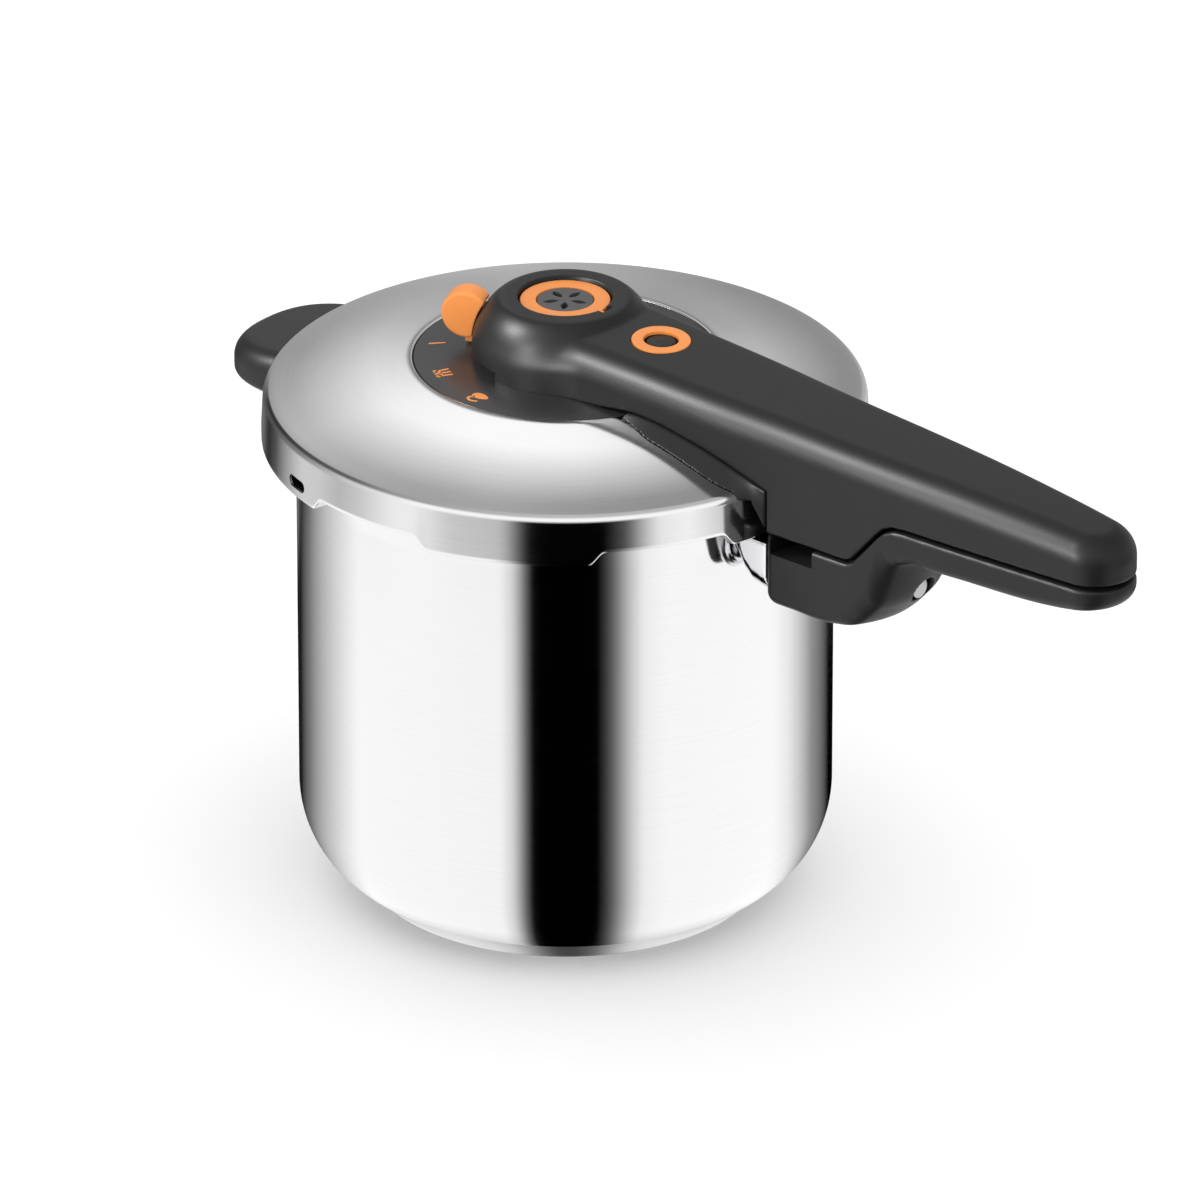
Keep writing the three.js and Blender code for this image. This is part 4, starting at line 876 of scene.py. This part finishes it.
def steel(name, color, roughness, spread, fineness, bump, metallic=1.0):
    """Metal with fine lines round the axis and a slow change of gloss over the surface."""
    material, nodes = start_material(name)
    lines = turned_noise(nodes, fineness, 3.0)
    place = nodes.add("ShaderNodeTexCoord").outputs["Object"]
    cloud = nodes.add("ShaderNodeTexNoise", Vector=place, Scale=28.0, Detail=3.0).outputs["Fac"]
    gloss = nodes.math("MULTIPLY_ADD", lines, spread, roughness - spread / 2)
    gloss = nodes.math("MULTIPLY_ADD", cloud, spread / 2, gloss)
    tone = nodes.ramp(lines, [(0.3, tuple(0.97 * c for c in color)), (0.7, color)])
    normal = nodes.add("ShaderNodeBump", Strength=bump, Distance=0.00005, Height=lines).outputs[0]
    close_material(nodes, normal, Base_Color=tone, Metallic=metallic, Roughness=gloss)
    return material


def plastic(name, color, roughness, grain, bump, specular=0.5):
    """Moulded plastic with a fine eroded grain and faint patches of gloss."""
    material, nodes = start_material(name)
    place = nodes.add("ShaderNodeTexCoord").outputs["Object"]
    fine = nodes.add("ShaderNodeTexNoise", Vector=place, Scale=grain, Detail=2.0).outputs["Fac"]
    cloud = nodes.add("ShaderNodeTexNoise", Vector=place, Scale=45.0, Detail=3.0).outputs["Fac"]
    tone = nodes.ramp(cloud, [(0.3, tuple(0.93 * c for c in color)), (0.7, tuple(1.05 * c for c in color))])
    gloss = nodes.math("MULTIPLY_ADD", fine, 0.12, roughness - 0.06)
    gloss = nodes.math("MULTIPLY_ADD", cloud, 0.06, gloss)
    normal = nodes.add("ShaderNodeBump", Strength=bump, Distance=0.0001, Height=fine).outputs[0]
    close_material(nodes, normal, Base_Color=tone, Roughness=gloss, Specular_IOR_Level=specular)
    return material


# colour, roughness, spread of the roughness, fineness of the lines, bump
POLISHED = steel("polished_steel", (0.8, 0.8, 0.81), 0.07, 0.05, 900.0, 0.02)
LID_STEEL = steel("lid_steel", (0.8, 0.8, 0.81), 0.10, 0.05, 900.0, 0.03)
SATIN = steel("satin_steel", (0.72, 0.72, 0.73), 0.30, 0.10, 1400.0, 0.12)
HARDWARE = steel("hardware_steel", (0.6, 0.6, 0.61), 0.3, 0.12, 1200.0, 0.1)
ALUMINIUM = steel("core_aluminium", (0.72, 0.73, 0.74), 0.4, 0.1, 1000.0, 0.1)
BRASS = steel("valve_brass", (0.6, 0.47, 0.24), 0.28, 0.1, 1200.0, 0.1)
# colour, roughness, fineness of the grain, bump, specular level
CHARCOAL = plastic("handle_plastic", (0.0065, 0.0065, 0.0068), 0.37, 2600.0, 0.35, 0.26)
PLATE_BLACK = plastic("plate_plastic", (0.012, 0.012, 0.0125), 0.27, 2200.0, 0.12, 0.42)
GREY = plastic("grey_plastic", (0.075, 0.075, 0.078), 0.45, 2600.0, 0.25)
ORANGE = plastic("orange_plastic", (0.80, 0.262, 0.052), 0.38, 2400.0, 0.12)
ORANGE_PRINT = plastic("orange_print", (0.82, 0.30, 0.075), 0.5, 2400.0, 0.05)
SILICONE = plastic("silicone", (0.42, 0.44, 0.46), 0.6, 1800.0, 0.2)

SLOT_MATERIALS = {
    "polished_steel": POLISHED, "satin_steel": SATIN, "core_aluminium": ALUMINIUM,
    "hardware_steel": HARDWARE, "handle_plastic": CHARCOAL, "plate_plastic": PLATE_BLACK,
    "grey_plastic": GREY, "orange_plastic": ORANGE, "silicone": SILICONE, "valve_brass": BRASS,
}


def dress_frame():
    """Gives every CAD node the material of its slot."""
    for row in frame["record"]["subparts"]:
        node = frame["nodes"][row["node"]]
        node.data.materials.clear()
        node.data.materials.append(SLOT_MATERIALS[row["material_slot"]])


# ---------------------------------------------------------------- stage

MIRROR_STRENGTH, EVEN_STRENGTH = 1.22, 1.2  # of what mirrors show, and of the light on everything else
FLOOR_RADIUS = 9000
LIGHT_TARGET = (0.05, 0, 0.22)  # in metres: beside the pot's axis, at the lid's height


def direction_to(azimuth, elevation):
    """Unit vector from the object towards an azimuth and elevation in degrees."""
    a, e = math.radians(azimuth), math.radians(elevation)
    return Vector((math.sin(a) * math.cos(e), -math.cos(a) * math.cos(e), math.sin(e)))


def make_camera():
    a = math.radians(CAMERA_AZIMUTH)
    back = direction_to(CAMERA_AZIMUTH, CAMERA_ELEVATION)
    right = Vector((math.cos(a), math.sin(a), 0))
    up = back.cross(right)
    data = bpy.data.cameras.new("camera")
    data.lens = CAMERA_LENS
    data.sensor_width = 36
    data.clip_end = 100
    camera = bpy.data.objects.new("camera", data)
    place = Vector(CAMERA_TARGET) + back * CAMERA_DISTANCE + right * CAMERA_RIGHT + up * CAMERA_UP
    camera.location = place * MM
    camera.rotation_mode = "QUATERNION"
    camera.rotation_quaternion = (-back).to_track_quat("-Z", "Y")
    bpy.context.scene.collection.objects.link(camera)
    bpy.context.scene.camera = camera


def band(nodes, value, low, high):
    """0 below low, 1 above high, with a straight run between."""
    return nodes.math("DIVIDE", nodes.math("SUBTRACT", value, low), high - low, clamp=True)


def make_world():
    """White studio with dark flags, placed by which way a mirror must face to show them from the camera's
    side: facing is that azimuth from the camera's, and tilt is its angle above the horizon. Everything that
    is not a mirror is lit by an even pale light."""
    world = bpy.data.worlds.new("studio")
    bpy.context.scene.world = world
    world.use_nodes = True
    nodes = Nodes(world.node_tree)
    ray = nodes.add("ShaderNodeTexCoord").outputs["Generated"]
    turned_ray = nodes.add("ShaderNodeVectorRotate", rotation_type="Z_AXIS", Vector=ray,
                           Angle=math.radians(90 - CAMERA_AZIMUTH)).outputs[0]
    forward, right, up = nodes.add("ShaderNodeSeparateXYZ", Vector=turned_ray).outputs
    forward = nodes.math("ADD", forward, math.cos(math.radians(CAMERA_ELEVATION)))
    up = nodes.math("ADD", up, math.sin(math.radians(CAMERA_ELEVATION)))
    level = length_of(nodes, forward, right)
    facing = nodes.math("MULTIPLY_ADD", nodes.math("ARCTAN2", right, forward), 0.5 / math.pi, 0.5)
    tilt = nodes.math("MULTIPLY", nodes.math("ARCTAN2", up, level), 180 / math.pi)

    def round_the_room(*stops):
        """Brightness at stops of facing, in degrees."""
        return nodes.ramp(facing, [(d / 360 + 0.5, v) for d, v in stops])

    def mix(factor, a, b):
        node = nodes.add("ShaderNodeMix", data_type="FLOAT")
        sockets = [node.inputs[key] for key in ("Factor", "A", "B")]
        for socket, value in zip(sockets, (factor, a, b)):
            if isinstance(value, bpy.types.NodeSocket):
                nodes.tree.links.new(value, socket)
            else:
                socket.default_value = value
        return node.outputs[0]

    walls = round_the_room(
        (-180, 0.0), (-80, 0.01), (-72, 0.18), (-60, 0.6), (-50, 0.98), (-14, 0.94), (-11, 0.66), (-9, 0.2),
        (-7.4, 0.0), (7.2, 0.0), (9.4, 0.06), (11.6, 0.25), (14, 0.56), (17, 0.88), (22, 0.96), (50, 1.0),
        (56, 0.84), (66, 0.28), (73, 0.12), (78, 0.0), (180, 0.0))
    skirt = round_the_room(
        (-180, 0.3), (-84, 0.13), (-78, 0.02), (-72, 0.08), (-60, 0.62), (-54, 0.60), (-48, 0.47),
        (-42, 0.6), (-34, 0.88), (-29, 0.86), (-22, 0.58), (-12, 0.51), (-9, 0.12), (-7.2, 0.0), (8, 0.0),
        (12, 0.08), (18, 0.82), (24, 0.92), (31, 0.64), (45, 0.5), (180, 0.3))
    line = round_the_room(
        (-180, 0.4), (-90, 0.1), (-75, 0.07), (-60, 0.24), (-45, 0.6), (-30, 0.95), (30, 0.96), (90, 0.5),
        (180, 0.4))
    roll = round_the_room(
        (-180, 0.4), (-100, 0.3), (-84, 0.03), (-72, 0.03), (-60, 0.06), (-45, 0.12), (-36, 0.3),
        (-15, 0.46), (0, 0.5), (90, 0.4), (180, 0.4))
    rim = round_the_room(
        (-180, 0.37), (-165, 0.42), (-140, 0.34), (-105, 0.31), (-90, 0.37), (-66, 0.5), (-48, 0.42),
        (-30, 0.36), (-15, 0.38), (0, 0.32), (15, 0.28), (90, 0.26), (140, 0.25), (180, 0.37))
    crown = round_the_room(
        (-180, 0.42), (-150, 0.37), (-120, 0.45), (-90, 0.68), (-60, 0.93), (-30, 1.0), (0, 0.99),
        (20, 0.9), (60, 0.72), (90, 0.52), (120, 0.37), (150, 0.33), (180, 0.42))
    # From the walls up, each range of tilt has its own brightness all round
    seen_low = nodes.math("MULTIPLY", walls, mix(band(nodes, tilt, -64, -34), 0.5, 1.0))
    mirror = mix(band(nodes, tilt, 0.4, 1.2), seen_low, skirt)
    mirror = mix(band(nodes, tilt, 14, 26), mirror, line)
    mirror = mix(band(nodes, tilt, 36, 48), mirror, roll)
    mirror = mix(band(nodes, tilt, 60, 68), mirror, rim)
    mirror = mix(band(nodes, tilt, 70, 79), mirror, crown)
    mirror = mix(band(nodes, tilt, 84.8, 87), mirror, 0.2)
    path = nodes.add("ShaderNodeLightPath")
    seen = nodes.add("ShaderNodeBackground", Strength=MIRROR_STRENGTH)
    nodes.tree.links.new(mirror, seen.inputs["Color"])
    even = nodes.add("ShaderNodeBackground", Color=(1, 1, 1, 1), Strength=EVEN_STRENGTH)
    choice = nodes.add("ShaderNodeMixShader")
    nodes.tree.links.new(path.outputs["Is Glossy Ray"], choice.inputs[0])
    nodes.tree.links.new(even.outputs[0], choice.inputs[1])
    nodes.tree.links.new(seen.outputs[0], choice.inputs[2])
    out = nodes.add("ShaderNodeOutputWorld")
    nodes.tree.links.new(choice.outputs[0], out.inputs["Surface"])


def make_floor():
    mesh = prism(arc(0, 0, FLOOR_RADIUS, 0, 357, 119), -4, -0.02)
    floor = bpy.data.objects.new("floor", mesh)
    bpy.context.scene.collection.objects.link(floor)
    material, nodes = start_material("pale_floor")
    place = nodes.add("ShaderNodeTexCoord").outputs["Object"]
    cloud = nodes.add("ShaderNodeTexNoise", Vector=place, Scale=3.0).outputs["Fac"]
    tone = nodes.ramp(cloud, [(0.0, 0.985), (1.0, 1.0)])
    close_material(nodes, None, Base_Color=tone, Roughness=0.9, Specular_IOR_Level=0.0)
    mesh.materials.append(material)
    floor.visible_glossy = False


def soft_light(name, azimuth, elevation, distance, size, power, lit):
    """Area light aimed at the lid, at an azimuth from the camera's and a distance in metres. It lights only
    the lit pieces, because the steel would mirror its outline."""
    direction = direction_to(CAMERA_AZIMUTH + azimuth, elevation)
    data = bpy.data.lights.new(name, "AREA")
    data.shape = "RECTANGLE"
    data.size, data.size_y = size
    data.energy = power
    light = bpy.data.objects.new(name, data)
    light.location = Vector(LIGHT_TARGET) + direction * distance
    light.rotation_mode = "QUATERNION"
    light.rotation_quaternion = (-direction).to_track_quat("-Z", "Y")
    light.light_linking.receiver_collection = lit
    bpy.context.scene.collection.objects.link(light)


def pieces_of(name, *materials):
    """Collection of every piece made of one of these materials."""
    chosen = bpy.data.collections.new(name)
    for piece in bpy.context.scene.objects:
        if piece.type == "MESH" and piece.data.materials and piece.data.materials[0] in materials:
            chosen.objects.link(piece)
    return chosen


def make_lights():
    dark = pieces_of("dark_pieces", CHARCOAL, PLATE_BLACK)
    orange = pieces_of("orange_pieces", ORANGE, ORANGE_PRINT)
    soft_light("front_box", -52, 18, 1.6, (0.35, 0.35), 22, dark)
    soft_light("left_box", -88, 36, 3.0, (0.7, 0.6), 145, dark)
    soft_light("front_fill", -35, 14, 1.6, (0.5, 0.5), 8, orange)


# ---------------------------------------------------------------- the object

make_camera()
make_world()
make_floor()
bpy.context.scene.view_settings.view_transform = "Standard"
dress_frame()

finish_object("pot", build_pot(), POLISHED, "pot", ["pot_shell"])
finish_object("base_pan", build_base_cap(), SATIN, "pot", ["base_cap"])
finish_object("ferrule", build_ferrule(), POLISHED, "pot", ["handle_ferrule"])
finish_object("lower_handle", build_pot_handle(), CHARCOAL, "pot", ["pot_handle"], 50)
finish_object("rear_handle", solid_mesh(helper_field, HELPER_LOW, HELPER_HIGH, step=0.75), CHARCOAL, "pot",
              ["helper_handle"], 50)
finish_object("lid", build_lid(), LID_STEEL, "lid", ["lid_shell"])
finish_object("plate", build_plate(), PLATE_BLACK, "lid", ["position_plate"])
build_marks()
finish_object("upper_handle", build_shell(), CHARCOAL, "lid", ["lid_handle_shell"], 50)
finish_object("handle_seat", solid_mesh(seat_field, SEAT_LOW - 1, SEAT_HIGH + 1, step=0.45), CHARCOAL, "lid",
              ["lid_handle_base"], 50)
finish_object("selector", solid_mesh(lever_field, LEVER_LOW, LEVER_HIGH, step=0.35), ORANGE, "selector",
              ["selector_lever"], 50)
finish_object("valve_ring", build_cap_ring(), ORANGE, "valve_cap", ["cap_ring"])
finish_object("valve_vent", build_vent_disc(), GREY, "valve_cap", ["vent_disc"])
finish_object("gauge_ring", build_indicator_ring(), ORANGE, "lid", ["indicator_ring"])
finish_object("gauge_pin", build_indicator_pin(), CHARCOAL, "indicator", ["indicator_pin"])

make_lights()
